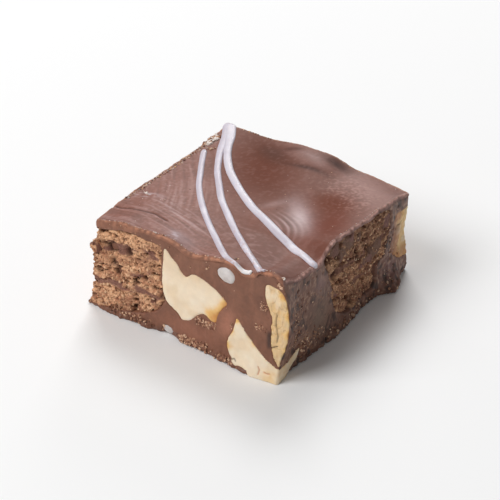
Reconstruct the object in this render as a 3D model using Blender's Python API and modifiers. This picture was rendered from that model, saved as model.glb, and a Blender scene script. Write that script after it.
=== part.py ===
"""A hand-cut square of rocky road.

A block of milk chocolate holds broken cream wafers, nuts and bits of marshmallow, cut through by the
knife where they meet a side. A poured chocolate topping with three lines of white icing covers it.
The frame has its origin at the middle of the base, +Z up, the front side facing -Y.
Sizes are in millimetres and become metres as the points of a mesh are placed.
"""

import math

import bmesh
import bpy
from mathutils import Matrix, Vector, noise

MM = 0.001
GAP = 0.3  # clearance between a piece and the pocket or layer next to it

# The block, as its knife cuts left it: plan corners at the base and at the top.
# u runs along +X and v along +Y, so the order is front left, front right, back right, back left.
BASE_PLAN = ((-26.2, -25.9), (25.6, -27.4), (24.7, 27.5), (-26.7, 27.2))
TOP_PLAN = ((-25.2, -23.6), (25.8, -25.9), (24.4, 27.2), (-26.3, 27.5))
# Height of the top along each side, as (place along the side, height).
FRONT_RIM = (
    (-25.2, 21.3), (-16, 23.1), (-7, 23.5), (0, 22.9), (12, 24.6), (18, 24.1), (22, 25.6), (25.8, 25.0),
)
BACK_RIM = ((-26.3, 22.6), (-13, 22.6), (-4, 23.4), (3, 23.2), (11, 21.8), (24.4, 20.5))
LEFT_RIM = ((-23.6, 21.3), (-12, 22.0), (-4, 22.0), (8, 21.7), (16, 21.7), (22, 22.0), (27.5, 22.6))
RIGHT_RIM = (
    (-25.9, 25.0), (-17, 22.4), (-11, 22.0), (-6, 24.2), (0, 24.0), (12, 22.9), (20, 22.0), (27.2, 20.5),
)
RIM_FADE = 3.0  # how fast the unevenness of a rim fades out over the top
# Gentle swells and hollows of the poured surface: (x, y, radius, height).
SWELLS = ((2, 21, 8, 0.9), (16, 4, 7, -0.9), (9, -4, 6, 0.5), (-16, -14, 7, 0.4), (-10, 12, 9, -0.4))
# Bulges of the sides: (side, place along it, height, half length, half height, outward).
BULGES = (
    ("right", -27, 17, 7, 8, 1.5),
    ("right", 18.5, 0, 4.4, 3.0, 3.0),
    ("right", -4, 0, 9, 2.2, 1.1),
    ("right", 27, 11, 7, 5, -0.7),
    ("front", -19, 0, 6, 1.6, 0.9),
    ("front", -4, 0, 2.6, 2.6, -1.2),
    ("front", 17, 0, 7, 1.8, 1.1),
    ("left", 6, 0, 9, 2.2, 0.7),
    ("left", -25, 0, 7, 1.8, 0.7),
    ("left", -25, 14.8, 3.5, 1.3, 1.3),
    ("left", -25, 18.4, 5, 1.6, -0.5),
    ("back", 2, 0, 8, 2.0, 0.3),
)
WAVE_LENGTH, WAVE_HEIGHT = 6.0, 0.35  # unevenness of a cut side
CRAG_LENGTH, CRAG_DEPTH = 2.6, 2.0  # crags of broken wafer where it is cut
TOPPING_THICKNESS = 1.7
CUTTER_TOP = 30.0
SHARP_DEGREES = 40
TOP_CUTS = (12, 18)  # cuts of the block and of its topping along X and Y, the same so that they stay apart
BLOCK_CUTS = (*TOP_CUTS, 9)
CRUMB_CUTS = (38, 38, 20)

# The icing lines, as plan points and a thickness. The first two meet the third at the back corner.
LINES = {
    "line_left": (
        (-23.9, 14.9), (-21.0, 10.1), (-17.6, 4.8), (-14.6, 0.2), (-10.6, -4.8), (-6.0, -9.9),
        (-2.1, -13.5), (2.0, -17.2), (6.3, -21.0), (9.8, -23.5), (13.4, -24.5), (17.0, -24.6),
    ),
    "line_middle": (
        (-26.6, 27.0), (-21.9, 19.6), (-20.1, 15.8), (-18.0, 12.3), (-15.1, 8.0), (-11.0, 2.9),
        (-6.1, -2.8), (-0.7, -8.0), (4.6, -12.9), (10.2, -17.6), (15.4, -21.4), (20.9, -25.4),
    ),
    "line_right": (
        (-26.2, 28.6), (-22.7, 23.5), (-20.3, 19.1), (-17.2, 14.1), (-12.6, 9.2), (-7.4, 4.7),
        (-2.4, 1.0), (4.9, -3.8), (11.2, -7.3), (16.0, -9.3), (20.1, -11.0), (24.0, -12.6), (28.0, -14.0),
    ),
}
LINE_RADIUS = {"line_left": 0.78, "line_middle": 0.84, "line_right": 1.0}
LINE_RISE = 0.35  # how far a line's middle stands above the topping
LINE_STEPS = 3  # steps of a line between two named points
LINE_SETBACK = 0.08  # how far inside the block's sides the icing is cut off

# Cream wafers: broken stacks of sheets with cream between, cut by the sides that they reach.
# Each sheet is (thickness, where it starts along the side, where it ends), from the bottom up.
WAFERS = {
    "left": {
        "side": "front",
        "pivot": (-14.0, 3.0),
        "tilt": 8.0,
        "depth": 16.0,
        "sheets": ((4.4, -32.0, -8.0), (2.9, -32.0, -5.9), (3.5, -32.0, -5.6), (4.5, -32.0, -5.0)),
    },
    "right": {
        "side": "right",
        "pivot": (2.5, 3.0),
        "tilt": -3.0,
        "depth": 14.0,
        "sheets": ((5.0, -2.6, 12.6), (5.0, -5.8, 16.6), (7.2, -8.4, 18.6)),
    },
    "back": {
        "side": "back",
        "pivot": (-12.0, 3.6),
        "tilt": -6.0,
        "depth": 12.0,
        "sheets": ((3.8, -18.5, -4.0), (3.2, -19.6, -3.2), (3.4, -18.8, -5.0)),
    },
}
CREAM_THICKNESS = 0.8
CREAM_SETBACK = 0.3  # the cream ends short of the sheets round it
CREAM_SUNK = 0.55  # and lies below the cut
SHEET_CUTS = (5, 1, 1)
LAYER_WAVE, LAYER_WAVE_LENGTH = 0.35, 9.0  # unevenness of the layers, which all share
RAGGED, RAGGED_LENGTH = 0.5, 2.6  # unevenness of a sheet's broken ends
LEAST_CRAG = 0.15
# Holes where crumbs have come away from the cut: (side, place along it, height, radius, depth).
HOLES = (
    ("front", -20.6, 15.8, 1.5, 2.2),
    ("front", -20.0, 12.7, 1.2, 1.8),
    ("front", -18.8, 10.6, 1.2, 2.0),
    ("front", -15.7, 16.6, 1.3, 1.6),
    ("front", -10.8, 11.9, 1.0, 1.7),
    ("right", -4.3, 15.4, 1.3, 2.0),
    ("right", 13.2, 7.5, 1.8, 1.8),
    ("right", 1.6, 3.6, 1.2, 1.6),
    ("right", 5.0, 16.5, 1.2, 1.4),
    ("right", 9.8, 15.0, 1.2, 1.4),
    ("left", -17.0, 8.4, 1.4, 1.8),
    ("back", -9.6, 11.0, 1.4, 1.8),
)

# Nuts cut through by a side: the outline of the cut as (along the side, height), how deep the nut
# goes, and the point of the outline's plane towards which it narrows.
NUTS = {
    "nut_large": {
        "side": "front",
        "outline": (
            (-5.4, 20.9), (-2.6, 19.4), (-1.1, 17.6), (0.5, 16.6), (2.8, 17.9), (6.6, 17.2), (10.2, 15.4), (11.7, 13.8),
            (10.2, 11.4), (9.0, 8.6), (5.4, 9.2), (2.4, 6.6), (-0.8, 6.4), (-3.8, 8.8), (-5.7, 12.2), (-5.9, 16.4),
        ),
        "depth": 8.5,
        "apex": (1.5, 12.5),
    },
    "nut_corner": {
        "side": "front",
        "outline": (
            (14.4, 12.2), (17.4, 9.2), (21.0, 6.2), (25.0, 3.7), (29.0, 3.2), (29.0, -2.0),
            (22.0, -2.0), (17.4, 0.7), (13.8, 1.5), (12.0, 4.4), (12.8, 8.2),
        ),
        "depth": 9.0,
        "apex": (25.0, 3.2),
    },
    "nut_upright": {
        "side": "front",
        "outline": (
            (22.2, 22.9), (24.8, 22.4), (25.8, 18.6), (25.7, 14.0), (25.1, 9.6), (24.6, 6.0),
            (23.2, 6.6), (22.3, 9.6), (22.7, 14.0), (21.5, 17.8), (21.1, 21.2),
        ),
        "depth": 3.6,
        "apex": (23.4, 14.0),
    },
    "nut_right": {
        "side": "right",
        "outline": (
            (21.9, 17.2), (26.0, 17.4), (30.0, 13.0), (29.0, 6.0), (24.0, 4.2), (20.0, 6.6), (18.4, 10.6), (19.6, 14.2),
        ),
        "depth": 7.5,
        "apex": (24.2, 11.0),
    },
    "nut_side": {
        "side": "left",
        "outline": (
            (-1.6, 9.4), (1.6, 14.2), (6.8, 16.0), (11.4, 14.4), (13.4, 10.6), (11.8, 7.0), (7.4, 4.6), (1.8, 5.4),
        ),
        "depth": 8.0,
        "apex": (6.0, 10.0),
    },
    "nut_back": {
        "side": "back",
        "outline": (
            (1.6, 8.2), (2.2, 13.4), (5.6, 17.4), (9.8, 16.6), (12.6, 11.6), (12.0, 6.4), (8.4, 3.2), (4.0, 3.8),
        ),
        "depth": 7.0,
        "apex": (7.2, 10.2),
    },
}
# Rings of a nut, from outside the cut to its far end: (share of the depth, share of the outline).
NUT_RINGS = ((-0.45, 1.0), (0.35, 0.96), (0.78, 0.7), (1.0, 0.34))

# Bits of marshmallow: side, place along it, height, half width, half height.
MARSHMALLOWS = {
    "marshmallow_front": ("front", 10.9, 20.9, 2.15, 1.95),
    "marshmallow_base": ("front", -4.2, 1.75, 1.35, 1.2),
    "marshmallow_side": ("left", 19.0, 15.0, 2.8, 2.6),
    "marshmallow_back": ("back", -22.4, 14.5, 2.0, 2.4),
}

# Colour, roughness and metallic value of each material.
FINISHES = {
    "chocolate": ((0.235, 0.095, 0.060, 1), 0.45, 0.0),
    "topping": ((0.270, 0.125, 0.095, 1), 0.30, 0.0),
    "wafer": ((0.400, 0.210, 0.110, 1), 0.90, 0.0),
    "cream": ((0.140, 0.070, 0.055, 1), 0.60, 0.0),
    "nut": ((0.800, 0.640, 0.450, 1), 0.50, 0.0),
    "marshmallow": ((0.780, 0.760, 0.760, 1), 0.50, 0.0),
}


def smooth(t):
    return t * t * (3 - 2 * t)


def mix(a, b, t):
    return a + (b - a) * t


def read_profile(profile, place):
    """Height at a place along a rim, eased between the rim's points."""
    if place <= profile[0][0]:
        return profile[0][1]
    for (start, low), (end, high) in zip(profile, profile[1:]):
        if place <= end:
            return mix(low, high, smooth((place - start) / (end - start)))
    return profile[-1][1]


def plan_point(plan, u, v):
    """Bilinear point of a four-cornered plan."""
    front = [mix(plan[0][i], plan[1][i], u) for i in (0, 1)]
    back = [mix(plan[3][i], plan[2][i], u) for i in (0, 1)]
    return [mix(front[i], back[i], v) for i in (0, 1)]


def rim_height(profile, share):
    """How far a rim is above the straight line between its ends, at a share of the side's length."""
    (start, low), (end, high) = profile[0], profile[-1]
    return read_profile(profile, mix(start, end, share)) - mix(low, high, share)


def top_height(u, v):
    """Height of the finished top: its corners' level, the rims fading out inwards, and the swells."""
    x, y = plan_point(TOP_PLAN, u, v)
    corners = [FRONT_RIM[0][1], FRONT_RIM[-1][1], BACK_RIM[-1][1], BACK_RIM[0][1]]
    height = mix(mix(corners[0], corners[1], u), mix(corners[3], corners[2], u), v)
    for profile, along, inward in (
        (FRONT_RIM, u, v), (BACK_RIM, u, 1 - v), (LEFT_RIM, v, u), (RIGHT_RIM, v, 1 - u),
    ):
        height += rim_height(profile, along) * max(1 - inward, 0.0) ** RIM_FADE
    return height + sum(h * math.exp(-((x - cx) ** 2 + (y - cy) ** 2) / r**2) for cx, cy, r, h in SWELLS)


def bulge(side, along, z):
    """How far a side stands out of its flat cut at a place: its bulges and an even waviness."""
    total = WAVE_HEIGHT * noise.noise(Vector((along, z, 40 * len(side))) / WAVE_LENGTH)
    for name, centre, height, half_length, half_height, outward in BULGES:
        if name == side:
            reach = ((along - centre) / half_length) ** 2 + ((z - height) / half_height) ** 2
            total += outward * math.exp(-reach)
    return total


def block_point(u, v, z, crag=0.0):
    """The point of the block at shares u and v of its plan and height z, with sides sunk by crag."""
    w = min(max(z / top_height(u, v), 0.0), 1.0)
    base, top = plan_point(BASE_PLAN, u, v), plan_point(TOP_PLAN, u, v)
    x, y = mix(base[0], top[0], w), mix(base[1], top[1], w)
    x, y = (
        x + u * (bulge("right", y, z) - crag) - (1 - u) * (bulge("left", y, z) - crag),
        y + v * (bulge("back", x, z) - crag) - (1 - v) * (bulge("front", x, z) - crag),
    )
    return Vector((x, y, z))


def side_frame(side):
    """(index of the axis along the side, whether the side is at the far end of its plan direction)."""
    return {"front": (0, False), "back": (0, True), "left": (1, False), "right": (1, True)}[side]


def side_point(side, along, z, depth):
    """The point at a place along a side and a height, sunk by depth into the block."""
    axis, far = side_frame(side)
    share = (along - BASE_PLAN[0][axis]) / (BASE_PLAN[2][axis] - BASE_PLAN[0][axis])
    share = min(max(share, 0.0), 1.0)
    other = 1.0 if far else 0.0
    u, v = (share, other) if axis == 0 else (other, share)
    w = min(max(z / top_height(u, v), 0.0), 1.0)
    across = mix(plan_point(BASE_PLAN, u, v)[1 - axis], plan_point(TOP_PLAN, u, v)[1 - axis], w)
    inward = -depth if far else depth
    point = [0.0, 0.0, z]
    point[axis], point[1 - axis] = along, across + inward
    return Vector(point)


def material(name):
    made = bpy.data.materials.get(name)
    if made is None:
        colour, roughness, metallic = FINISHES[name]
        made = bpy.data.materials.new(name)
        made.use_nodes = True
        shader = made.node_tree.nodes["Principled BSDF"]
        shader.inputs["Base Color"].default_value = colour
        shader.inputs["Roughness"].default_value = roughness
        shader.inputs["Metallic"].default_value = metallic
    return made


def shade(mesh):
    mesh.shade_smooth()
    mesh.set_sharp_from_angle(angle=math.radians(SHARP_DEGREES))


def new_object(name, bm, finish, collection):
    """Turns a bmesh in millimetres into an object in metres."""
    bmesh.ops.scale(bm, vec=(MM, MM, MM), verts=bm.verts)
    bmesh.ops.recalc_face_normals(bm, faces=bm.faces)
    mesh = bpy.data.meshes.new(name)
    bm.to_mesh(mesh)
    bm.free()
    shade(mesh)
    mesh.materials.append(material(finish))
    obj = bpy.data.objects.new(name, mesh)
    collection.objects.link(obj)
    return obj


def as_cutter(obj):
    obj.hide_render = True
    obj.display_type = "WIRE"
    return obj


def gridded_cube(cuts):
    """A unit cube from 0 to 1 whose edges along X, Y and Z are cut so many times."""
    bm = bmesh.new()
    bmesh.ops.create_cube(bm, size=1.0)
    bmesh.ops.translate(bm, vec=(0.5, 0.5, 0.5), verts=bm.verts)
    for axis, count in enumerate(cuts):
        along = [e for e in bm.edges if abs(e.verts[0].co[axis] - e.verts[1].co[axis]) > 1e-6]
        if count:
            bmesh.ops.subdivide_edges(bm, edges=along, cuts=count, use_grid_fill=True)
    return bm


def boolean(obj, operation, other, solver="EXACT"):
    modifier = obj.modifiers.new(operation.title(), "BOOLEAN")
    modifier.operation = operation
    modifier.solver = solver
    if isinstance(other, bpy.types.Collection):
        modifier.operand_type = "COLLECTION"
        modifier.collection = other
    else:
        modifier.object = other
    return modifier


def apply_modifiers(obj):
    """Keeps the evaluated mesh and drops the modifiers."""
    evaluated = obj.evaluated_get(bpy.context.evaluated_depsgraph_get())
    mesh = bpy.data.meshes.new_from_object(evaluated)
    shade(mesh)
    obj.modifiers.clear()
    old, obj.data = obj.data, mesh
    mesh.name = old.name
    bpy.data.meshes.remove(old)


def make_block(name, cuts, low_of, high_of, finish, collection, crag_of=None):
    """A gridded block between two heights that depend on its plan shares, any level end one face."""
    bm = gridded_cube(cuts)
    ends = [[face for face in bm.faces if all(vert.co.z == level for vert in face.verts)] for level in (0, 1)]
    for vert in bm.verts:
        u, v, share = vert.co
        z = mix(low_of(u, v), high_of(u, v), share)
        vert.co = block_point(u, v, z, crag_of(u, v, z) if crag_of else 0.0)
    for end, height_of in zip(ends, (low_of, high_of)):
        if height_of(0, 0) == height_of(0.5, 0.5):
            bmesh.ops.dissolve_faces(bm, faces=end)
    bmesh.ops.triangulate(bm, faces=[face for face in bm.faces if len(face.verts) == 4])
    return new_object(name, bm, finish, collection)


def ground(u, v):
    return 0.0


def cutter_top(u, v):
    return CUTTER_TOP


def topping_base(u, v):
    return top_height(u, v) - TOPPING_THICKNESS


def inner_height(u, v):
    """Height of everything under the topping."""
    return topping_base(u, v) - GAP


def crag_depth(u, v, z):
    """How far broken wafer is sunk below the cut: cells with ridges between them, and the holes."""
    x, y = plan_point(BASE_PLAN, u, v)
    place = Vector((x, y, 1.35 * z)) / CRAG_LENGTH
    distances, _ = noise.voronoi(place)
    cell = min(distances[1] - distances[0], 0.8)
    depth = CRAG_DEPTH * (0.42 - 0.6 * cell + 0.3 * noise.noise(place * 0.6))
    across = {"front": v * 99, "back": (1 - v) * 99, "left": u * 99, "right": (1 - u) * 99}
    for side, along, height, radius, sunk in HOLES:
        axis, _ = side_frame(side)
        reach = ((x, y)[axis] - along) ** 2 + (z - height) ** 2 + across[side] ** 2
        depth += sunk * math.exp(-reach / radius**2)
    return max(depth, LEAST_CRAG)


def cream_sunk(u, v, z):
    return CREAM_SUNK


def line_sunk(u, v, z):
    return LINE_SETBACK


def wafer_point(wafer, along, rise, depth):
    """A point of a wafer in the block: along its layers, up from its lowest, and in from its side."""
    rise += LAYER_WAVE * noise.noise(Vector((along, depth, 7 * wafer["depth"])) / LAYER_WAVE_LENGTH)
    tilt = math.radians(wafer["tilt"])
    pivot_along, pivot_z = wafer["pivot"]
    run = along - pivot_along
    axis, _ = side_frame(wafer["side"])
    point = [0.0, 0.0, pivot_z + run * math.sin(tilt) + rise * math.cos(tilt)]
    point[axis] = pivot_along + run * math.cos(tilt) - rise * math.sin(tilt)
    point[1 - axis] = side_point(wafer["side"], pivot_along, 12.0, depth)[1 - axis]
    return Vector(point)


def make_sheet(name, wafer, low, high, start, end, grow, finish, collection):
    """A slab of a wafer that follows its layers, with ragged ends, or its pocket when grow is not 0."""
    bm = gridded_cube(SHEET_CUTS)
    for vert in bm.verts:
        share_along, share_in, share_up = vert.co
        rise = mix(low - grow, high + grow, share_up)
        depth = mix(-3.0, wafer["depth"] + grow, share_in)
        ragged = RAGGED * noise.noise(Vector((start + end, depth, rise)) / RAGGED_LENGTH)
        along = mix(start - grow, end + grow, share_along) + ragged * (share_along in (0, 1))
        vert.co = wafer_point(wafer, along, rise, depth)
    bmesh.ops.triangulate(bm, faces=bm.faces)
    return new_object(name, bm, finish, collection)


def make_wafer(key, pieces, pockets, crumb_cut, smooth_cut, cream_cut):
    """Sheets and cream of one broken wafer, each trimmed by the block's sides."""
    wafer = WAFERS[key]
    low = 0.0
    for number, (thickness, start, end) in enumerate(wafer["sheets"], start=1):
        high = low + thickness
        sheet = make_sheet(f"wafer_{key}_{number}", wafer, low, high, start, end, 0.0, "wafer", pieces)
        boolean(sheet, "INTERSECT", crumb_cut)
        boolean(sheet, "INTERSECT", smooth_cut)
        as_cutter(make_sheet(f"pocket_{sheet.name}", wafer, low, high, start, end, GAP, "chocolate", pockets))
        if number < len(wafer["sheets"]):
            next_start, next_end = wafer["sheets"][number][1:]
            cream_start = max(start, next_start) + CREAM_SETBACK
            cream_end = min(end, next_end) - CREAM_SETBACK
            cream_low, cream_high = high + GAP, high + GAP + CREAM_THICKNESS
            layer = (wafer, cream_low, cream_high, cream_start, cream_end)
            cream = make_sheet(f"cream_{key}_{number}", *layer, 0.0, "cream", pieces)
            boolean(cream, "INTERSECT", cream_cut)
            as_cutter(make_sheet(f"pocket_{cream.name}", *layer, GAP, "chocolate", pockets))
            high = cream_high + GAP
        low = high


def make_nut(name, pieces, pockets, smooth_cut):
    """A nut lofted inwards from the outline of its cut, then trimmed by the block's sides."""
    nut = NUTS[name]
    apex_along, apex_z = nut["apex"]
    bm = bmesh.new()
    rings = []
    for depth_share, size in NUT_RINGS:
        ring = []
        for along, z in nut["outline"]:
            place = (mix(apex_along, along, size), mix(apex_z, z, size))
            ring.append(bm.verts.new(side_point(nut["side"], *place, depth_share * nut["depth"])))
        rings.append(ring)
    for near, far in zip(rings, rings[1:]):
        for i in range(len(near)):
            j = (i + 1) % len(near)
            bm.faces.new((near[i], near[j], far[j], far[i]))
    bm.faces.new(rings[0])
    bm.faces.new(rings[-1])
    obj = new_object(name, bm, "nut", pieces)
    rounding = obj.modifiers.new("Round", "SUBSURF")
    rounding.levels = rounding.render_levels = 1
    pocket = bpy.data.objects.new(f"pocket_{name}", obj.data)
    pockets.objects.link(as_cutter(pocket))
    rounding = pocket.modifiers.new("Round", "SUBSURF")
    rounding.levels = rounding.render_levels = 1
    clearance = pocket.modifiers.new("Clearance", "DISPLACE")
    clearance.mid_level = 0.0
    clearance.strength = GAP * MM
    boolean(obj, "INTERSECT", smooth_cut)
    return obj


def make_marshmallow(name, pieces, pockets, smooth_cut):
    """A small rounded bit of marshmallow, cut flat by a side."""
    side, along, z, half_width, half_height = MARSHMALLOWS[name]
    axis, _ = side_frame(side)
    for grow, label, collection in ((0.0, name, pieces), (GAP, f"pocket_{name}", pockets)):
        bm = bmesh.new()
        bmesh.ops.create_uvsphere(bm, u_segments=14, v_segments=6, radius=1.0)
        quarter_turn = Matrix.Rotation(math.pi / 2, 3, "X" if axis == 0 else "Y")
        bmesh.ops.rotate(bm, matrix=quarter_turn, verts=bm.verts)
        size = [half_width + grow, half_width + grow, half_height + grow]
        bmesh.ops.scale(bm, vec=size, verts=bm.verts)
        obj = new_object(label, bm, "marshmallow", collection)
        obj.location = side_point(side, along, z, 0.35 * half_width) * MM
        if grow:
            as_cutter(obj)
        else:
            boolean(obj, "INTERSECT", smooth_cut)


def plan_share(x, y):
    """Shares u and v of a plan point of the top, by a few steps of a fixed-point search."""
    u = v = 0.5
    for _ in range(12):
        px, py = plan_point(TOP_PLAN, u, v)
        u += (x - px) / (TOP_PLAN[1][0] - TOP_PLAN[0][0])
        v += (y - py) / (TOP_PLAN[3][1] - TOP_PLAN[0][1])
    return u, v


def line_points(name):
    """Plan points of an icing line, close together on a Catmull-Rom curve through its named points."""
    named = [Vector(point) for point in LINES[name]]
    named = [2 * named[0] - named[1]] + named + [2 * named[-1] - named[-2]]
    points = []
    for a, b, c, d in zip(named, named[1:], named[2:], named[3:]):
        for step in range(LINE_STEPS):
            t = step / LINE_STEPS
            square = 2 * a - 5 * b + 4 * c - d
            cube = 3 * b - a - 3 * c + d
            points.append(0.5 * (2 * b + t * (c - a) + t**2 * square + t**3 * cube))
    return points + [named[-2]]


def make_line(name, collection):
    """One icing line: a bevelled curve that follows the topping, made a closed mesh for the union."""
    curve = bpy.data.curves.new(name, "CURVE")
    curve.dimensions = "3D"
    curve.bevel_depth = LINE_RADIUS[name] * MM
    curve.bevel_resolution = 2
    curve.use_fill_caps = True
    points = line_points(name)
    spline = curve.splines.new("POLY")
    spline.points.add(len(points) - 1)
    for point, (x, y) in zip(spline.points, points):
        u, v = plan_share(x, y)
        height = top_height(min(max(u, 0.0), 1.0), min(max(v, 0.0), 1.0)) + LINE_RISE
        point.co = (x * MM, y * MM, height * MM, 1.0)
    guide = bpy.data.objects.new(name + "_guide", curve)
    collection.objects.link(guide)
    mesh = bpy.data.meshes.new_from_object(guide.evaluated_get(bpy.context.evaluated_depsgraph_get()))
    bpy.data.objects.remove(guide)
    bm = bmesh.new()
    bm.from_mesh(mesh)
    bmesh.ops.remove_doubles(bm, verts=bm.verts, dist=0.01 * MM)
    bm.to_mesh(mesh)
    bm.free()
    line = bpy.data.objects.new(name, mesh)
    collection.objects.link(line)
    return line


def make_topping(pieces, scene_collection, line_cut):
    """The poured layer with its three icing lines joined to it."""
    topping = make_block("topping", (*TOP_CUTS, 1), topping_base, top_height, "topping", pieces)
    lines = bpy.data.collections.new("icing_lines")
    scene_collection.children.link(lines)
    for name in LINES:
        line = make_line(name, lines)
        boolean(line, "INTERSECT", line_cut)
        apply_modifiers(line)
    boolean(topping, "UNION", lines)
    apply_modifiers(topping)
    for line in list(lines.objects):
        bpy.data.objects.remove(line)
    bpy.data.collections.remove(lines)
    return topping


def main():
    for obj in list(bpy.data.objects):
        bpy.data.objects.remove(obj)
    root = bpy.context.scene.collection
    pieces = bpy.data.collections.new("rocky_road")
    pockets = bpy.data.collections.new("pockets")
    cutters = bpy.data.collections.new("cutters")
    for collection in (pieces, pockets, cutters):
        root.children.link(collection)

    smooth_cut = make_block("smooth_cut", BLOCK_CUTS, ground, inner_height, "chocolate", cutters)
    cream_cut = make_block("cream_cut", BLOCK_CUTS, ground, inner_height, "chocolate", cutters, cream_sunk)
    crumb_cut = make_block("crumb_cut", CRUMB_CUTS, ground, cutter_top, "chocolate", cutters, crag_depth)
    line_cut = make_block("line_cut", (12, 18, 3), ground, cutter_top, "chocolate", cutters, line_sunk)
    for cutter in (smooth_cut, cream_cut, crumb_cut, line_cut):
        as_cutter(cutter)
    for key in WAFERS:
        make_wafer(key, pieces, pockets, crumb_cut, smooth_cut, cream_cut)
    for name in NUTS:
        make_nut(name, pieces, pockets, smooth_cut)
    for name in MARSHMALLOWS:
        make_marshmallow(name, pieces, pockets, smooth_cut)
    body = make_block("chocolate_block", BLOCK_CUTS, ground, inner_height, "chocolate", pieces)
    boolean(body, "DIFFERENCE", pockets)
    make_topping(pieces, root, line_cut)

    square = bpy.data.objects.new("rocky_road_square", None)
    pieces.objects.link(square)
    for obj in pieces.objects:
        if obj != square:
            obj.parent = square


main()
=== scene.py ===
"""Looks of the rocky road square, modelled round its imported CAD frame.

Every piece is worked out in millimetres in the frame's own coordinates and becomes metres in piece().
"""

import math
from itertools import product

import bmesh
import bpy
import numpy as np
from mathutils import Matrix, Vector, noise


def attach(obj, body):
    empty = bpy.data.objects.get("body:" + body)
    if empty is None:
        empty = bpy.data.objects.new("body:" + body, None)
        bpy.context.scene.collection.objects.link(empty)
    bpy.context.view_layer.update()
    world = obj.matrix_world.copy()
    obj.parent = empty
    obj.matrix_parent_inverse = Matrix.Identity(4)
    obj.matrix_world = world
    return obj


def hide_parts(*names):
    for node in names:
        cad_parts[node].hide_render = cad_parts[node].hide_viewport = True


MM = 0.001
FAR = 9.0  # a distance beyond all that is measured
SIDES = ("front", "right", "back", "left")

# The block and its top, as in the part.
BASE_PLAN = ((-26.2, -25.9), (25.6, -27.4), (24.7, 27.5), (-26.7, 27.2))
TOP_PLAN = ((-25.2, -23.6), (25.8, -25.9), (24.4, 27.2), (-26.3, 27.5))
FRONT_RIM = (
    (-25.2, 21.3), (-16, 23.1), (-7, 23.5), (0, 22.9), (12, 24.6), (18, 24.1), (22, 25.6), (25.8, 25.0),
)
BACK_RIM = ((-26.3, 22.6), (-13, 22.6), (-4, 23.4), (3, 23.2), (11, 21.8), (24.4, 20.5))
LEFT_RIM = ((-23.6, 21.3), (-12, 22.0), (-4, 22.0), (8, 21.7), (16, 21.7), (22, 22.0), (27.5, 22.6))
RIGHT_RIM = (
    (-25.9, 25.0), (-17, 22.4), (-11, 22.0), (-6, 24.2), (0, 24.0), (12, 22.9), (20, 22.0), (27.2, 20.5),
)
SWELLS = (
    (2, 21, 8, 0.9), (16, 4, 7, -0.9), (9, -4, 6, 0.5), (-16, -14, 7, 0.4), (-10, 12, 9, -0.4),
    (-9, -24.6, 4.5, 0.4), (-4.6, -25, 3.0, 0.5), (2.6, -25.6, 3.2, -0.35), (13.0, -25.6, 1.2, 0.2),
    (15.2, -25.6, 1.8, -0.75), (19.6, -25.6, 1.3, 0.85), (23.2, -25.4, 2.6, 0.85),
)
BULGES = (
    ("right", -27, 17, 7, 8, 1.5), ("right", -27, 12, 5, 7, 1.1), ("right", 18.5, 0, 4.4, 3.0, 3.0),
    ("right", -4, 0, 9, 2.2, 1.1), ("right", 27, 11, 7, 5, -0.7), ("front", -19, 0, 6, 1.6, 0.9),
    ("front", -4, 0, 2.6, 2.6, -1.2), ("front", 17, 0, 7, 1.8, 1.1), ("left", 6, 0, 9, 2.2, 0.7),
    ("left", -25, 0, 7, 1.8, 0.7), ("left", -25, 14.8, 3.2, 1.2, 2.0), ("left", -25, 18.4, 5, 1.6, -0.5),
    ("back", 2, 0, 8, 2.0, 0.3),
)
RIM_FADE = 3.0  # how fast the unevenness of a rim fades out over the top
WAVE_LENGTH, WAVE_HEIGHT = 6.0, 0.35
CORNER = 0.010  # rounding of the upright corners, as a share of a side

LINES = {
    "line_left": (
        0.74,
        (
            (-23.9, 14.9), (-21.0, 10.1), (-17.6, 4.8), (-14.6, 0.2), (-10.5, -4.7), (-5.75, -9.7),
            (-1.75, -13.25), (2.5, -16.8), (6.7, -20.7), (9.8, -23.4), (12.8, -24.8), (15.4, -25.3),
            (17.5, -24.9),
        ),
    ),
    "line_middle": (
        0.80,
        (
            (-26.4, 27.9), (-22.8, 22.0), (-20.5, 16.8), (-18.1, 12.5), (-15.1, 8.0), (-11.0, 2.9),
            (-6.1, -2.8), (-0.5, -7.9), (5.0, -12.65), (10.6, -17.3), (15.75, -21.15), (21.0, -25.3),
        ),
    ),
    "line_right": (
        0.98,
        (
            (-26.2, 28.6), (-22.7, 23.5), (-20.2, 19.2), (-16.8, 14.35), (-12.35, 9.4), (-7.2, 4.85),
            (-2.4, 1.0), (4.7, -3.9), (11.0, -7.4), (15.9, -9.4), (19.9, -11.15), (24.0, -12.6),
            (28.0, -14.0),
        ),
    ),
}

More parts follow.
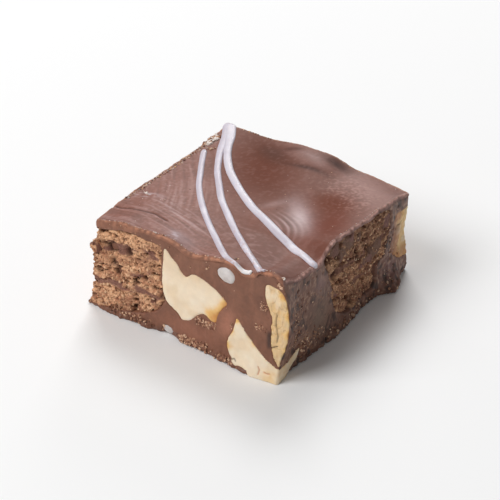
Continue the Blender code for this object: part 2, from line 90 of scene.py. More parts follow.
# Where each cut piece shows, as outlines of (along the side, height) on the sides that it reaches.
WAFERS = {
    "left": {
        "front": (
            (-31.0, 19.0), (-23.4, 19.6), (-18.6, 21.0), (-14.2, 21.6), (-10.2, 21.5), (-6.8, 21.4),
            (-6.2, 19.4), (-6.4, 15.5), (-6.0, 12.7), (-4.6, 9.8), (-7.0, 5.6), (-12.3, 2.9), (-17.0, 1.9),
            (-20.9, 1.3), (-31.0, 1.8),
        ),
        "left": (
            (-31.0, 19.0), (-24.0, 19.2), (-18.0, 18.4), (-13.0, 17.4), (-9.8, 15.4), (-10.6, 11.8),
            (-9.4, 8.2), (-11.4, 5.0), (-16.0, 2.8), (-22.0, 1.8), (-31.0, 1.8),
        ),
    },
    "right": {
        "right": (
            (-8.7, 19.5), (-9.0, 22.4), (-5.0, 23.2), (1.0, 23.0), (8.0, 22.4), (14.0, 21.6), (18.6, 20.2),
            (19.4, 18.0), (18.6, 15.2), (17.3, 11.6), (16.4, 9.4), (13.6, 8.2), (13.4, 4.6), (10.4, 3.0),
            (6.9, 3.3), (1.1, 2.8), (-2.6, 4.4), (-4.9, 6.9), (-6.0, 10.6), (-6.2, 14.0),
        ),
    },
    "back": {
        "back": (
            (-18.6, 3.2), (-19.6, 8.0), (-19.0, 12.4), (-18.2, 16.2), (-14.0, 16.8), (-9.0, 16.4),
            (-5.4, 14.6), (-4.0, 10.6), (-3.4, 6.6), (-5.0, 3.2), (-10.0, 2.4), (-15.0, 2.8),
        ),
    },
}
# Layers of each wafer: pivot, tilt in degrees, and the middle height of each cream above the pivot.
LAYERS = {
    "left": ((-14.0, 3.0), 8.0, (5.1, 9.4, 14.3)),
    "right": ((2.5, 3.0), -3.0, (5.7, 12.1)),
    "back": ((-12.0, 3.6), -6.0, (4.5, 9.1)),
}
# Places where chocolate was smeared over a wafer as it was cut.
SMEARS = (
    ("right", 1.1, 21.4, 2.6, 1.0), ("right", -4.8, 22.2, 2.0, 1.0), ("right", 9.8, 12.4, 2.2, 0.9),
    ("right", 13.4, 13.6, 1.8, 0.9), ("right", -2.2, 19.0, 1.5, 0.9), ("right", 6.0, 12.0, 1.0, 0.8),
    ("right", 17.0, 18.0, 2.0, 0.9), ("right", -4.6, 10.2, 1.4, 0.7), ("right", 5.2, 19.8, 1.1, 0.8),
)
HOLES = (
    ("right", -6.6, 20.6, 1.1, 1.8), ("right", 3.8, 18.0, 0.9, 1.8), ("right", 9.2, 15.4, 0.8, 1.5),
    ("right", 7.0, 20.6, 0.7, 1.3), ("right", 11.6, 20.0, 0.7, 1.2), ("front", -20.6, 15.8, 1.5, 2.2),
    ("front", -20.0, 12.7, 1.2, 1.8), ("front", -18.8, 10.6, 1.2, 2.0), ("front", -15.7, 16.6, 1.3, 1.6),
    ("front", -10.8, 11.9, 1.0, 1.7), ("right", -4.3, 15.4, 1.3, 2.0), ("right", 13.2, 7.5, 1.8, 1.8),
    ("right", 1.6, 3.6, 1.2, 1.6), ("right", 5.0, 16.5, 1.2, 1.4), ("right", 9.8, 15.0, 1.2, 1.4),
    ("left", -17.0, 8.4, 1.4, 1.8), ("back", -9.6, 11.0, 1.4, 1.8),
)
NUTS = {
    "nut_large": {
        "front": (
            (-5.5, 21.3), (-3.6, 20.0), (-1.9, 19.0), (-0.7, 17.4), (0.6, 16.7), (2.3, 17.9), (4.4, 17.9),
            (6.4, 17.3), (8.4, 16.5), (10.0, 15.6), (11.7, 14.3), (10.5, 12.6), (9.6, 10.8), (9.0, 8.7),
            (7.6, 8.9), (6.0, 9.6), (4.0, 8.6), (2.6, 7.1), (1.0, 6.2), (-0.3, 6.1), (-1.4, 7.2),
            (-4.0, 8.7), (-5.3, 10.4), (-5.9, 12.8), (-6.0, 15.4), (-5.8, 18.5),
        ),
    },
    "nut_corner": {
        "front": (
            (14.7, 12.0), (17.1, 9.1), (20.6, 6.2), (23.4, 4.6), (25.6, 3.7), (29.0, 3.5), (29.0, -2.5),
            (20.4, -2.5), (18.1, 0.9), (14.4, 1.1), (13.0, 2.4), (12.0, 4.4), (12.6, 6.6), (13.8, 9.2),
        ),
        "right": (
            (-31.0, 3.9), (-26.6, 3.6), (-23.6, 3.2), (-21.0, 3.6), (-18.6, 4.3), (-19.2, 2.6),
            (-22.0, 0.9), (-25.0, -1.0), (-31.0, -2.5),
        ),
    },
    "nut_upright": {
        "front": (
            (21.8, 22.9), (25.0, 22.8), (26.9, 21.0), (27.9, 17.5), (27.9, 14.0), (27.5, 10.3),
            (26.7, 7.0), (25.7, 4.4), (24.8, 5.6), (23.9, 7.6), (23.5, 9.6), (23.4, 12.4), (23.6, 15.2),
            (22.8, 17.2), (21.7, 19.9),
        ),
    },
    "nut_right": {
        "right": (
            (22.0, 17.2), (24.6, 17.0), (31.0, 16.0), (31.0, 4.0), (26.8, 4.4), (23.4, 5.2), (20.8, 7.6),
            (19.8, 10.2), (21.2, 12.6), (20.9, 15.0),
        ),
        "back": (
            (30.0, 16.6), (24.0, 16.8), (20.0, 15.6), (17.6, 13.0), (17.0, 9.8), (18.4, 6.4), (22.0, 4.6),
            (30.0, 4.2),
        ),
    },
    "nut_side": {
        "left": (
            (-1.4, 9.0), (-0.6, 11.6), (1.6, 13.4), (3.4, 14.9), (5.6, 14.4), (7.4, 15.4), (10.2, 14.6),
            (12.0, 12.4), (13.0, 10.0), (11.4, 8.2), (10.6, 6.0), (8.0, 5.2), (5.8, 4.6), (3.2, 5.6),
            (1.0, 5.6), (-0.4, 7.2),
        ),
    },
    "nut_back": {
        "back": (
            (1.6, 8.2), (2.0, 11.0), (3.4, 12.6), (3.8, 15.2), (5.8, 16.8), (8.4, 16.6), (10.2, 14.6),
            (10.4, 12.4), (12.4, 10.6), (12.0, 7.4), (10.2, 5.6), (8.8, 3.8), (6.6, 4.4), (4.4, 4.2),
            (2.6, 5.8),
        ),
    },
}
# Toasted places of the nuts: (side, along, height, radius, strength).
TOASTED = {
    "nut_large": (
        ("front", 11.4, 14.0, 1.5, 1.0), ("front", 9.3, 9.2, 1.9, 1.0), ("front", 10.4, 11.6, 1.5, 0.9),
        ("front", 7.6, 10.6, 1.8, 0.6),
    ),
    "nut_corner": (
        ("front", 14.4, 11.8, 1.2, 0.8), ("front", 13.0, 8.6, 1.1, 0.9), ("front", 12.3, 4.4, 1.2, 0.8),
        ("front", 19.0, 7.2, 0.9, 0.5), ("front", 24.0, 0.4, 2.4, 0.5), ("right", -24.0, 1.6, 6.0, 0.35),
    ),
    "nut_upright": (
        ("front", 28.2, 17.5, 1.2, 0.9), ("front", 28.2, 13.0, 1.2, 0.8), ("front", 27.7, 8.6, 1.1, 0.9),
        ("front", 26.4, 22.0, 1.3, 0.9), ("front", 23.0, 14.0, 9.0, 0.35),
    ),
    "nut_right": (
        ("right", 20.0, 9.0, 2.2, 0.7), ("right", 24.0, 16.4, 1.8, 0.6), ("back", 18.0, 11.0, 2.2, 0.6),
    ),
    "nut_side": (
        ("left", -0.8, 8.4, 1.8, 0.9), ("left", 12.6, 12.6, 1.6, 0.8), ("left", 6.0, 15.6, 1.4, 0.6),
    ),
    "nut_back": (
        ("back", 2.4, 5.4, 1.8, 0.9), ("back", 12.2, 9.0, 1.6, 0.8), ("back", 7.0, 17.0, 1.4, 0.6),
    ),
}
# Cracks of the nuts, as (side, path of (along, height), whether it is orange instead of dark).
NUT_CRACKS = {
    "nut_corner": (
        ("front", ((20.5, 2.8), (21.1, 1.9), (21.0, 0.7)), True),
        ("front", ((22.0, 1.9), (23.0, 1.7), (23.9, 1.9)), True),
        ("front", ((12.9, 2.2), (13.7, 1.7), (14.4, 2.0), (15.1, 1.5)), False),
    ),
    "nut_right": (("right", ((21.4, 13.2), (22.8, 13.9), (24.0, 13.6), (25.2, 14.4)), False),),
    "nut_upright": (
        ("front", ((22.9, 7.7), (24.0, 8.5), (25.4, 9.3)), False),
        ("front", ((24.9, 9.6), (25.2, 11.8), (24.6, 14.6), (24.9, 17.8)), False),
    ),
}
MARSHMALLOWS = {
    "marshmallow_front": ("front", 11.3, 21.1, 2.35, 1.75),
    "marshmallow_base": ("front", -4.3, 1.6, 1.35, 1.1),
    "marshmallow_side": ("left", 19.0, 15.0, 2.8, 2.6),
    "marshmallow_back": ("back", -22.4, 14.5, 2.0, 2.4),
}

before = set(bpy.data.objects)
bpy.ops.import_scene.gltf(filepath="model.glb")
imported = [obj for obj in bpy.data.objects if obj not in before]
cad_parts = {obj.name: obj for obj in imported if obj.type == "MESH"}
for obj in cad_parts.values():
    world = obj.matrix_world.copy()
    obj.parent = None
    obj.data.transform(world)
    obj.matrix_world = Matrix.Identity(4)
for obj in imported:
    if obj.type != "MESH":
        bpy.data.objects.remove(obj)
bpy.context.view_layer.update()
rng = np.random.default_rng(11)


# --- Numbers ---


def mix(a, b, t):
    return a + (b - a) * t


def ease(t):
    t = np.clip(t, 0.0, 1.0)
    return t * t * (3 - 2 * t)


def step(low, high, value):
    """0 below low and 1 above high, eased between them; the other way round if low is above high."""
    return ease((value - low) / (high - low))


def hashed(place, seed):
    """Even random numbers from 0 to 1, fixed for each whole-numbered place."""
    i, j, k = np.moveaxis(place, -1, 0)
    n = (i * 374761393 + j * 668265263 + k * 2147483647 + seed * 1274126177) & 0xFFFFFFFF
    n = ((n ^ (n >> 13)) * 1274126177) & 0xFFFFFFFF
    n = ((n ^ (n >> 16)) * 1103515245) & 0xFFFFFFFF
    return (n ^ (n >> 15)) / 2.0**32


def cloud(points, size, seed=0, octaves=1):
    """Smooth noise from -1 to 1 with lumps about size apart; size may differ along each axis."""
    total, weight = 0.0, 1.0
    for octave in range(octaves):
        q = points / np.asarray(size) * 2.0**octave + 17.3 * octave
        base = np.floor(q).astype(np.int64)
        t = q - base
        t = t * t * t * (t * (t * 6 - 15) + 10)
        value = 0.0
        for corner in product((0, 1), repeat=3):
            share = np.prod(np.where(corner, t, 1 - t), axis=-1)
            value = value + share * hashed(base + corner, seed + octave)
        total = total + weight * (2 * value - 1)
        weight *= 0.5
    return total


def drift(points, size, seed, octaves):
    """Smooth noise along each axis."""
    return np.stack([cloud(points, size, seed + axis, octaves) for axis in range(3)], axis=-1)


def on_plan(x, y):
    """Points of the plan, for noise over the top."""
    return np.stack([x, y, 0 * x], axis=-1)


def cells(points, size, seed=0):
    """Distances to the nearest seed and the next one, in sizes, and the nearest's own random number."""
    q = points / np.asarray(size)
    base = np.floor(q).astype(np.int64)
    near = np.full(q.shape[:-1], FAR)
    following, own = near.copy(), near.copy()
    for shift in product((-1, 0, 1), repeat=3):
        cell = base + shift
        centre = cell + np.stack([hashed(cell, seed + axis) for axis in range(3)], axis=-1)
        distance = np.linalg.norm(q - centre, axis=-1)
        closer = distance < near
        following = np.where(closer, near, np.minimum(following, distance))
        own = np.where(closer, hashed(cell, seed + 3), own)
        near = np.where(closer, distance, near)
    return near, following, own


def grains(points, size, seed=0):
    """Heights from 0 to 1 of a surface packed with rounded grains."""
    near, following, own = cells(points, size, seed)
    return np.clip(following - near, 0.0, 0.5) * 2 * (0.6 + 0.4 * own), own


# --- The block ---


def read_profile(profile, place):
    places, heights = np.array(profile, float).T
    place = np.clip(place, places[0], places[-1])
    i = np.clip(np.searchsorted(places, place) - 1, 0, len(places) - 2)
    return mix(heights[i], heights[i + 1], ease((place - places[i]) / (places[i + 1] - places[i])))


def plan_point(plan, u, v):
    front = [mix(plan[0][i], plan[1][i], u) for i in (0, 1)]
    back = [mix(plan[3][i], plan[2][i], u) for i in (0, 1)]
    return [mix(front[i], back[i], v) for i in (0, 1)]


def rim_height(profile, share):
    """How far a rim is above the straight line between its ends, at a share of the side's length."""
    (start, low), (end, high) = profile[0], profile[-1]
    return read_profile(profile, mix(start, end, share)) - mix(low, high, share)


def top_height(u, v):
    """Height of the finished top: its corners' level, the rims fading out inwards, and the swells."""
    x, y = plan_point(TOP_PLAN, u, v)
    front, back = (mix(rim[0][1], rim[-1][1], u) for rim in (FRONT_RIM, BACK_RIM))
    height = mix(front, back, v)
    rims = ((FRONT_RIM, u, v), (BACK_RIM, u, 1 - v), (LEFT_RIM, v, u), (RIGHT_RIM, v, 1 - u))
    for profile, along, inward in rims:
        height = height + rim_height(profile, along) * (1 - inward) ** RIM_FADE
    return height + sum(h * np.exp(-((x - cx) ** 2 + (y - cy) ** 2) / r**2) for cx, cy, r, h in SWELLS)


WAVE_STEP = 0.5
ACROSS, UPWARD = -36.0 + WAVE_STEP * np.arange(145), -2.0 + WAVE_STEP * np.arange(64)
WAVES = {
    side: np.array(
        [[noise.noise(Vector((a, z, 40 * len(side))) / WAVE_LENGTH) for z in UPWARD] for a in ACROSS]
    )
    for side in SIDES
}


def wave(side, along, z):
    """The same unevenness of a side as the part's, read from a table of it."""
    table = WAVES[side]
    a = np.clip((along - ACROSS[0]) / WAVE_STEP, 0, len(ACROSS) - 1.001)
    b = np.clip((z - UPWARD[0]) / WAVE_STEP, 0, len(UPWARD) - 1.001)
    i, j = a.astype(int), b.astype(int)
    s, t = a - i, b - j
    return mix(mix(table[i, j], table[i + 1, j], s), mix(table[i, j + 1], table[i + 1, j + 1], s), t)


def bulge(side, along, z):
    total = WAVE_HEIGHT * wave(side, along, z)
    for name, centre, height, half_length, half_height, outward in BULGES:
        if name == side:
            total = total + outward * np.exp(
                -((along - centre) / half_length) ** 2 - ((z - height) / half_height) ** 2
            )
    return total


def block_point(u, v, z):
    w = np.clip(z / top_height(u, v), 0.0, 1.0)
    x, y = (mix(base, top, w) for base, top in zip(plan_point(BASE_PLAN, u, v), plan_point(TOP_PLAN, u, v)))
    across = x + u * bulge("right", y, z) - (1 - u) * bulge("left", y, z)
    inward = y + v * bulge("back", x, z) - (1 - v) * bulge("front", x, z)
    return np.stack([across, inward, z + 0 * x], axis=-1)


def rounded(u, v):
    """Plan shares with the four corners of the plan rounded."""
    a, b = 2 * u - 1, 2 * v - 1
    size = 2 * CORNER
    p, q = (np.maximum(np.abs(c) - (1 - size), 0) / size for c in (a, b))
    pull = np.where((p > 0) & (q > 0), np.maximum(p, q) / np.maximum(np.hypot(p, q), 1e-9), 1.0)
    a, b = (np.sign(c) * (np.abs(c) - past * (1 - pull) * size) for c, past in ((a, p), (b, q)))
    return (a + 1) / 2, (b + 1) / 2


def ring(s):
    """Plan shares at a place round the block: 0 to 1 along the front, then right, back and left."""
    side = np.floor(s).astype(int) % 4
    t = s - np.floor(s)
    zero, one = 0 * t, 1 + 0 * t
    return rounded(np.choose(side, [t, one, 1 - t, zero]), np.choose(side, [zero, t, one, 1 - t]))


def under_top(s, shares, depth):
    """Rings below the top, at shares of the way from its middle to its sides."""
    for share in shares:
        u, v = ((plan - 0.5) * share + 0.5 for plan in ring(s))
        yield block_point(u, v, top_height(u, v) - depth)


class Wall:
    """A grid over part of the sides: places round the block by heights."""

    def __init__(self, s, z):
        self.s, self.z = np.broadcast_arrays(s[:, None], z)
        self.side = np.floor(self.s).astype(int) % 4
        self.top = top_height(*ring(self.s))
        self.point = self.at(0, 0)
        normal = np.cross(self.at(0.004, 0) - self.at(-0.004, 0), self.at(0, 0.2) - self.at(0, -0.2))
        self.normal = normal / np.linalg.norm(normal, axis=-1, keepdims=True)
        self.along = np.where(self.side % 2 == 0, self.point[..., 0], self.point[..., 1])

    def at(self, onward, up):
        return block_point(*ring(self.s + onward), self.z + up)

    def moved(self, offset):
        return self.point + self.normal * offset[..., None]

    def on(self, side):
        """1 on one of the sides and 0 on the others."""
        return np.where(self.side == SIDES.index(side), 1.0, 0.0)

    def near(self, spots):
        """How near each point is to the spots (side, along, height, radius, strength), summed."""
        total = np.zeros(self.s.shape)
        for side, along, height, radius, strength in spots:
            reach = (self.along - along) ** 2 + (self.z - height) ** 2
            total += self.on(side) * strength * np.exp(-reach / radius**2)
        return total

    def distance(self, outlines):
        """Distance to a piece's outline on the sides that it reaches, negative inside it."""
        total = np.full(self.s.shape, FAR)
        for side, outline in outlines.items():
            here = self.on(side) > 0
            if here.any():
                total[here] = outline_distance(outline, self.along[here], self.z[here])
        return total


def catmull_rom(p, steps):
    """The curve through the points, apart from the first and the last two, which only steer it."""
    a, b, c, d = p[:-3], p[1:-2], p[2:-1], p[3:]
    t = (np.arange(steps) / steps)[:, None, None]
    curve = 0.5 * (
        2 * b + (c - a) * t + (2 * a - 5 * b + 4 * c - d) * t**2 + (3 * b - a - 3 * c + d) * t**3
    )
    return curve.swapaxes(0, 1).reshape(-1, 2)


def closed_curve(points):
    p = np.array(points, float)
    return catmull_rom(np.concatenate([p[-1:], p, p[:2]]), 5)


def open_curve(points):
    p = np.array(points, float)
    steered = np.concatenate([2 * p[:1] - p[1:2], p, 2 * p[-1:] - p[-2:-1]])
    return np.concatenate([catmull_rom(steered, 14), p[-1:]])


def outline_distance(outline, a, b):
    curve = closed_curve(outline)
    best, inside = np.full(a.shape, FAR), np.zeros(a.shape, bool)
    for (x0, y0), (x1, y1) in zip(curve, np.roll(curve, -1, 0)):
        dx, dy = x1 - x0, y1 - y0
        t = np.clip(((a - x0) * dx + (b - y0) * dy) / (dx * dx + dy * dy + 1e-12), 0, 1)
        best = np.minimum(best, np.hypot(a - x0 - t * dx, b - y0 - t * dy))
        if y0 != y1:
            inside ^= ((y0 > b) != (y1 > b)) & (a < x0 + (b - y0) * dx / dy)
    return np.where(inside, -best, best)


def path_distance(path, x, y):
    """Distance to an open path, and the share of its length that is passed."""
    best, share = np.full(x.shape, FAR), np.zeros(x.shape)
    for i, ((x0, y0), (x1, y1)) in enumerate(zip(path, path[1:])):
        dx, dy = x1 - x0, y1 - y0
        t = np.clip(((x - x0) * dx + (y - y0) * dy) / (dx * dx + dy * dy), 0, 1)
        distance = np.hypot(x - x0 - t * dx, y - y0 - t * dy)
        share = np.where(distance < best, (i + t) / (len(path) - 1), share)
        best = np.minimum(best, distance)
    return best, share


def marshmallow_distance(wall, name):
    side, along, height, wide, high = MARSHMALLOWS[name]
    reach = np.hypot((wall.along - along) / wide, (wall.z - height) / high)
    return np.where(wall.on(side) > 0, (reach - 1) * min(wide, high), FAR)


# --- Meshes ---


def listed(*parts):
    """Points or tints of several grids in one list."""
    return np.concatenate([np.reshape(part, (-1, 3)) for part in parts])


def grid_faces(rows, columns, wrap=False):
    """Corner numbers of the quads of a grid that is stored row by row."""
    i, j = np.meshgrid(np.arange(rows if wrap else rows - 1), np.arange(columns - 1), indexing="ij")
    k = (i + 1) % rows * columns
    i = i * columns
    return np.stack([i + j, k + j, k + j + 1, i + j + 1], axis=-1).reshape(-1, 4)


def closed_tube(grid):
    """Points, quads and end fans of a solid from a grid of places round it by steps along it."""
    n, m = grid.shape[:2]
    first = m * np.arange(n)
    after = np.roll(first, -1)
    fans = [
        np.stack([np.full(n, n * m), after, first], axis=-1),
        np.stack([np.full(n, n * m + 1), first + m - 1, after + m - 1], axis=-1),
    ]
    points = listed(grid, grid[:, 0].mean(axis=0), grid[:, -1].mean(axis=0))
    return points, grid_faces(n, m, wrap=True), np.concatenate(fans)


def closed_patch(front, back, keep):
    """A closed solid between two grids of points, over the quads to keep."""
    rows, columns = front.shape[:2]
    quads = grid_faces(rows, columns)[keep.reshape(-1)]
    edges = np.concatenate([quads[:, [i, (i + 1) % 4]] for i in range(4)])
    count = rows * columns
    code = edges.min(1) * count + edges.max(1)
    _, first, times = np.unique(code, return_index=True, return_counts=True)
    rim = edges[first[times == 1]]
    sides = np.stack([rim[:, 1], rim[:, 0], rim[:, 0] + count, rim[:, 1] + count], axis=-1)
    faces = np.concatenate([quads, quads[:, ::-1] + count, sides])
    used, index = np.unique(faces, return_inverse=True)
    return listed(front, back)[used], index.reshape(faces.shape), used % count


def chips(places, sizes, normals, tints):
    """Irregular grains at the places: their points, faces and a tint for each point."""
    bm = bmesh.new()
    bmesh.ops.create_icosphere(bm, subdivisions=1, radius=1.0)
    shape = np.array([v.co for v in bm.verts])
    faces = np.array([[v.index for v in f.verts] for f in bm.faces])
    bm.free()
    n, k = len(places), len(shape)
    turn = rng.normal(size=(n, 4))
    w, x, y, z = (turn / np.linalg.norm(turn, axis=1, keepdims=True)).T
    matrix = np.stack(
        [
            1 - 2 * (y * y + z * z), 2 * (x * y - z * w), 2 * (x * z + y * w),
            2 * (x * y + z * w), 1 - 2 * (x * x + z * z), 2 * (y * z - x * w),
            2 * (x * z - y * w), 2 * (y * z + x * w), 1 - 2 * (x * x + y * y),
        ],
        axis=-1,
    ).reshape(n, 3, 3)
    stretch = rng.uniform(0.6, 1.25, (n, 1, 3))
    lumps = shape[None] * stretch * (1 + 0.35 * rng.uniform(-1, 1, (n, k, 1)))
    lumps = np.einsum("nij,nkj->nki", matrix, lumps) * sizes[:, None, None]
    outward = np.einsum("nki,ni->nk", lumps, normals)
    lumps = lumps - 0.3 * outward[..., None] * normals[:, None, :]  # pressed a little flat
    faces = (faces[None] + k * np.arange(n)[:, None, None]).reshape(-1, 3)
    return (places[:, None] + lumps).reshape(-1, 3), faces, np.repeat(tints, k, axis=0)


def linear(colour):
    """Linear colour of an sRGB one given as 0 to 255."""
    c = np.asarray(colour, float) / 255
    return np.where(c <= 0.04045, c / 12.92, ((c + 0.055) / 1.055) ** 2.4)


def paint(base, *layers):
    """A colour for each point: base, with each (colour, mask) laid over it in turn."""
    shape = np.broadcast_shapes(*(np.shape(mask) for _, mask in layers))
    out = np.broadcast_to(linear(base), (*shape, 3))
    for colour, mask in layers:
        out = mix(out, linear(colour), np.clip(mask, 0, 1)[..., None])
    return out


def piece(name, points, faces, material, tints, nodes, sharp=None, loose=None, gloss=None):
    """A mesh object in metres that rides on the root body and stands for CAD nodes.

    Sharp faces aren't shaded smooth. Loose grains on the piece are given by their points, faces and tints.
    """
    points, tints, faces = listed(points), listed(tints), np.asarray(faces).tolist()
    sharp = [] if sharp is None else sharp.tolist()
    if loose:
        sharp += (loose[1] + len(points)).tolist()
        points, tints = listed(points, loose[0]), listed(tints, loose[2])
    shine = np.zeros(len(points))
    if gloss is not None:
        shine[: np.size(gloss)] = np.ravel(gloss)
    mesh = bpy.data.meshes.new(name)
    mesh.from_pydata((points * MM).tolist(), [], faces + sharp)
    mesh.update()
    colours = np.concatenate([tints, np.ones((len(points), 1))], axis=1)
    mesh.attributes.new("tint", "FLOAT_COLOR", "POINT").data.foreach_set("color", colours.ravel())
    mesh.attributes.new("gloss", "FLOAT", "POINT").data.foreach_set("value", shine)
    mesh.polygons.foreach_set("use_smooth", [True] * len(faces) + [False] * len(sharp))
    mesh.materials.append(material)
    obj = bpy.data.objects.new(name, mesh)
    bpy.context.scene.collection.objects.link(obj)
    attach(obj, "root")
    if nodes:
        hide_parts(*nodes)
    return obj


# --- Materials ---


def food_material(name, roughness, grain, grain_size, bump, bump_size, specular=0.5, soft=0.0):
    """Principled shader whose colour comes from the tints, with fine grain in the colour and the relief."""
    made = bpy.data.materials.new(name)
    made.use_nodes = True
    nodes, links = made.node_tree.nodes, made.node_tree.links

    def fill(node, sockets):
        """Sets a node's sockets to values, or links other nodes' outputs to them."""
        for socket, value in sockets.items():
            if isinstance(value, bpy.types.NodeSocket):
                links.new(value, node.inputs[socket])
            else:
                node.inputs[socket].default_value = value
        return node.outputs

    def add(kind, sockets, **settings):
        node = nodes.new("ShaderNode" + kind)
        for setting, value in settings.items():
            setattr(node, setting, value)
        return fill(node, sockets)

    place = add("TexCoord", {})["Object"]

    def texture(size, detail):
        sockets = {"Scale": 1 / (size * MM), "Detail": detail, "Roughness": 0.6, "Vector": place}
        return add("TexNoise", sockets)["Fac"]

    tint = add("Attribute", {}, attribute_name="tint")["Color"]
    low, high = {"From Min": 0.3, "To Min": 1 - grain}, {"From Max": 0.7, "To Max": 1 + grain}
    grainy = add("MapRange", {"Value": texture(grain_size, 3), **low, **high})["Result"]
    colour = add("VectorMath", {0: tint, "Scale": grainy}, operation="SCALE")["Vector"]
    gloss = add("Attribute", {}, attribute_name="gloss")["Fac"]
    rough = add("Math", {0: gloss, 1: roughness}, operation="ADD", use_clamp=True)["Value"]
    relief = add("Bump", {"Strength": 1.0, "Distance": bump * MM, "Height": texture(bump_size, 4)})["Normal"]
    sockets = {"Base Color": colour, "Roughness": rough, "Normal": relief, "Specular IOR Level": specular}
    if soft:
        sockets |= {"Subsurface Weight": soft, "Subsurface Scale": 0.0012}
        sockets["Subsurface Radius"] = (1.0, 0.7, 0.5)
    fill(nodes["Principled BSDF"], sockets)
    return made


CHOCOLATE = food_material("chocolate", 0.50, 0.10, 0.8, 0.05, 0.5)
TOPPING = food_material("topping", 0.44, 0.06, 0.6, 0.012, 0.7, specular=0.35)
WAFER = food_material("wafer", 0.85, 0.30, 0.35, 0.12, 0.30, specular=0.25)
NUT = food_material("nut", 0.48, 0.04, 1.5, 0.02, 0.7, soft=0.15)
ICING = food_material("icing", 0.38, 0.02, 0.8, 0.008, 0.6, soft=0.15)

# --- Chocolate block ---

SIDE_CUTS = 200  # quads along each side of the block
ROWS = 92  # points up each cut side
TUCK = 0.7  # height of the topping's rim that hides the block's edge
FOOT = 0.4  # height up to which the foot is rounded in
BASE_EDGE = ((0, 0.5, 0.0), (0, 0.22, 0.06), (0, 0.06, 0.22))  # rings there: share, inset and height
SIDE_CRACK = ((-6.7, 7.0), (-7.0, 5.4), (-7.9, 3.6), (-8.2, 2.0), (-8.8, 0.4))
RIGHT_SMOOTH = (
    ("right", -11.2, 9.2, 4.0, 1.0), ("right", -10.4, 4.6, 2.6, 0.7), ("right", -10.6, 16.6, 2.4, 0.8),
)


def inclusion_distance(wall):
    """Distance to the nearest wafer, nut or marshmallow, negative inside one."""
    every = [wall.distance(outlines) for outlines in (*WAFERS.values(), *NUTS.values())]
    every += [marshmallow_distance(wall, name) for name in MARSHMALLOWS]
    return np.minimum.reduce(every)


def cut_relief(wall):
    """Relief of the cut chocolate: knife drag, low lumps and small pits."""
    p = wall.point
    lumps = cloud(p, 2.6, 5, 2)
    near, _, own = cells(p, 1.3, 9)
    right, rough = wall.on("right"), 1 - np.clip(wall.near(RIGHT_SMOOTH), 0, 1)
    pits = np.where(own > 0.72, step(0.32, 0.12, near), 0.0)
    torn = cloud(p, (0.8, 0.8, 1.3), 27, 3) * step(-0.5, 0.5, cloud(p, 4.0, 29))
    clods = 0.26 * grains(p, 0.9, 21)[0] + 0.6 * grains(p, 2.4, 25)[0] - 0.45 + 0.12 * lumps
    return (
        0.05 * cloud(p, (1.4, 1.4, 5.0), 3, 2)
        + 0.07 * lumps
        - (0.16 + 0.25 * right) * pits * rough
        + 0.20 * right * torn * rough
        - 0.5 * side_crack(wall)
        + step(3.2, 0.6, wall.z) * clods
    )


def side_crack(wall):
    away, share = path_distance(SIDE_CRACK, wall.along, wall.z)
    return wall.on("right") * np.exp(-((away / 0.26) ** 2)) * step(0.0, 0.2, share)


def cut_tints(wall):
    p = wall.point
    x, z = wall.along, wall.z
    shade, streak = cloud(p, 3.5, 31, 3), cloud(p, (1.2, 1.2, 4.0), 33, 2)
    right, smooth = wall.on("right"), np.clip(wall.near(RIGHT_SMOOTH), 0, 1)
    uneven = right * (1 - 0.8 * smooth)
    front_low = wall.on("front") * np.exp(-(((x - 2) / 9) ** 2) - ((z - 4.5) / 2.6) ** 2)
    right_low = right * np.exp(-(((x + 15) / 9) ** 2) - ((z - 6) / 5) ** 2)
    crevice = [("front", 23.0, height, 0.55, 0.7) for height in (8.4, 9.2, 10.0, 10.8, 11.6)]
    return paint(
        (124, 79, 58),
        ((140, 92, 69), 0.5 * step(0.0, 0.9, shade)),
        ((104, 63, 46), 0.5 * step(0.0, 0.9, -shade)),
        ((148, 98, 75), 0.35 * step(0.2, 0.9, streak)),
        ((166, 106, 82), 0.5 * front_low),
        ((176, 116, 92), 0.8 * wall.near([("front", 12.0, 8.6, 2.2, 1.0), ("front", 12.6, 11.6, 1.8, 0.7)])),
        # Painted shade: the right face, which faces away from the key light, is darker.
        ((112, 75, 59), 0.65 * right),
        # Painted shade in the crevice beside the upright nut.
        ((44, 24, 18), np.clip(wall.near(crevice), 0, 0.9)),
        ((112, 68, 48), 0.35 * wall.near([("front", 5.0, 8.0, 3.0, 1.0), ("front", -6.0, 6.0, 4.0, 1.0)])),
        ((156, 120, 102), 0.7 * right_low * step(-0.5, 0.6, streak)),
        ((116, 92, 76), 0.8 * smooth),
        ((134, 96, 92), 0.7 * wall.near([("right", -10.6, 16.6, 2.2, 1.0), ("right", 19.0, 5.0, 3.0, 0.8)])),
        ((176, 138, 116), 0.7 * uneven * step(0.2, 0.8, cloud(p, (0.5, 0.5, 0.7), 35, 2))),
        ((62, 38, 30), 0.9 * uneven * step(0.1, 0.7, cloud(p, (1.1, 1.1, 1.4), 37, 2))),
        # Painted shade in the side crack.
        ((40, 24, 20), 0.9 * side_crack(wall)),
        # Painted shade: darker towards the foot.
        ((96, 58, 46), 0.5 * step(2.0, 0.0, z) * step(-0.3, 0.6, shade)),
    )


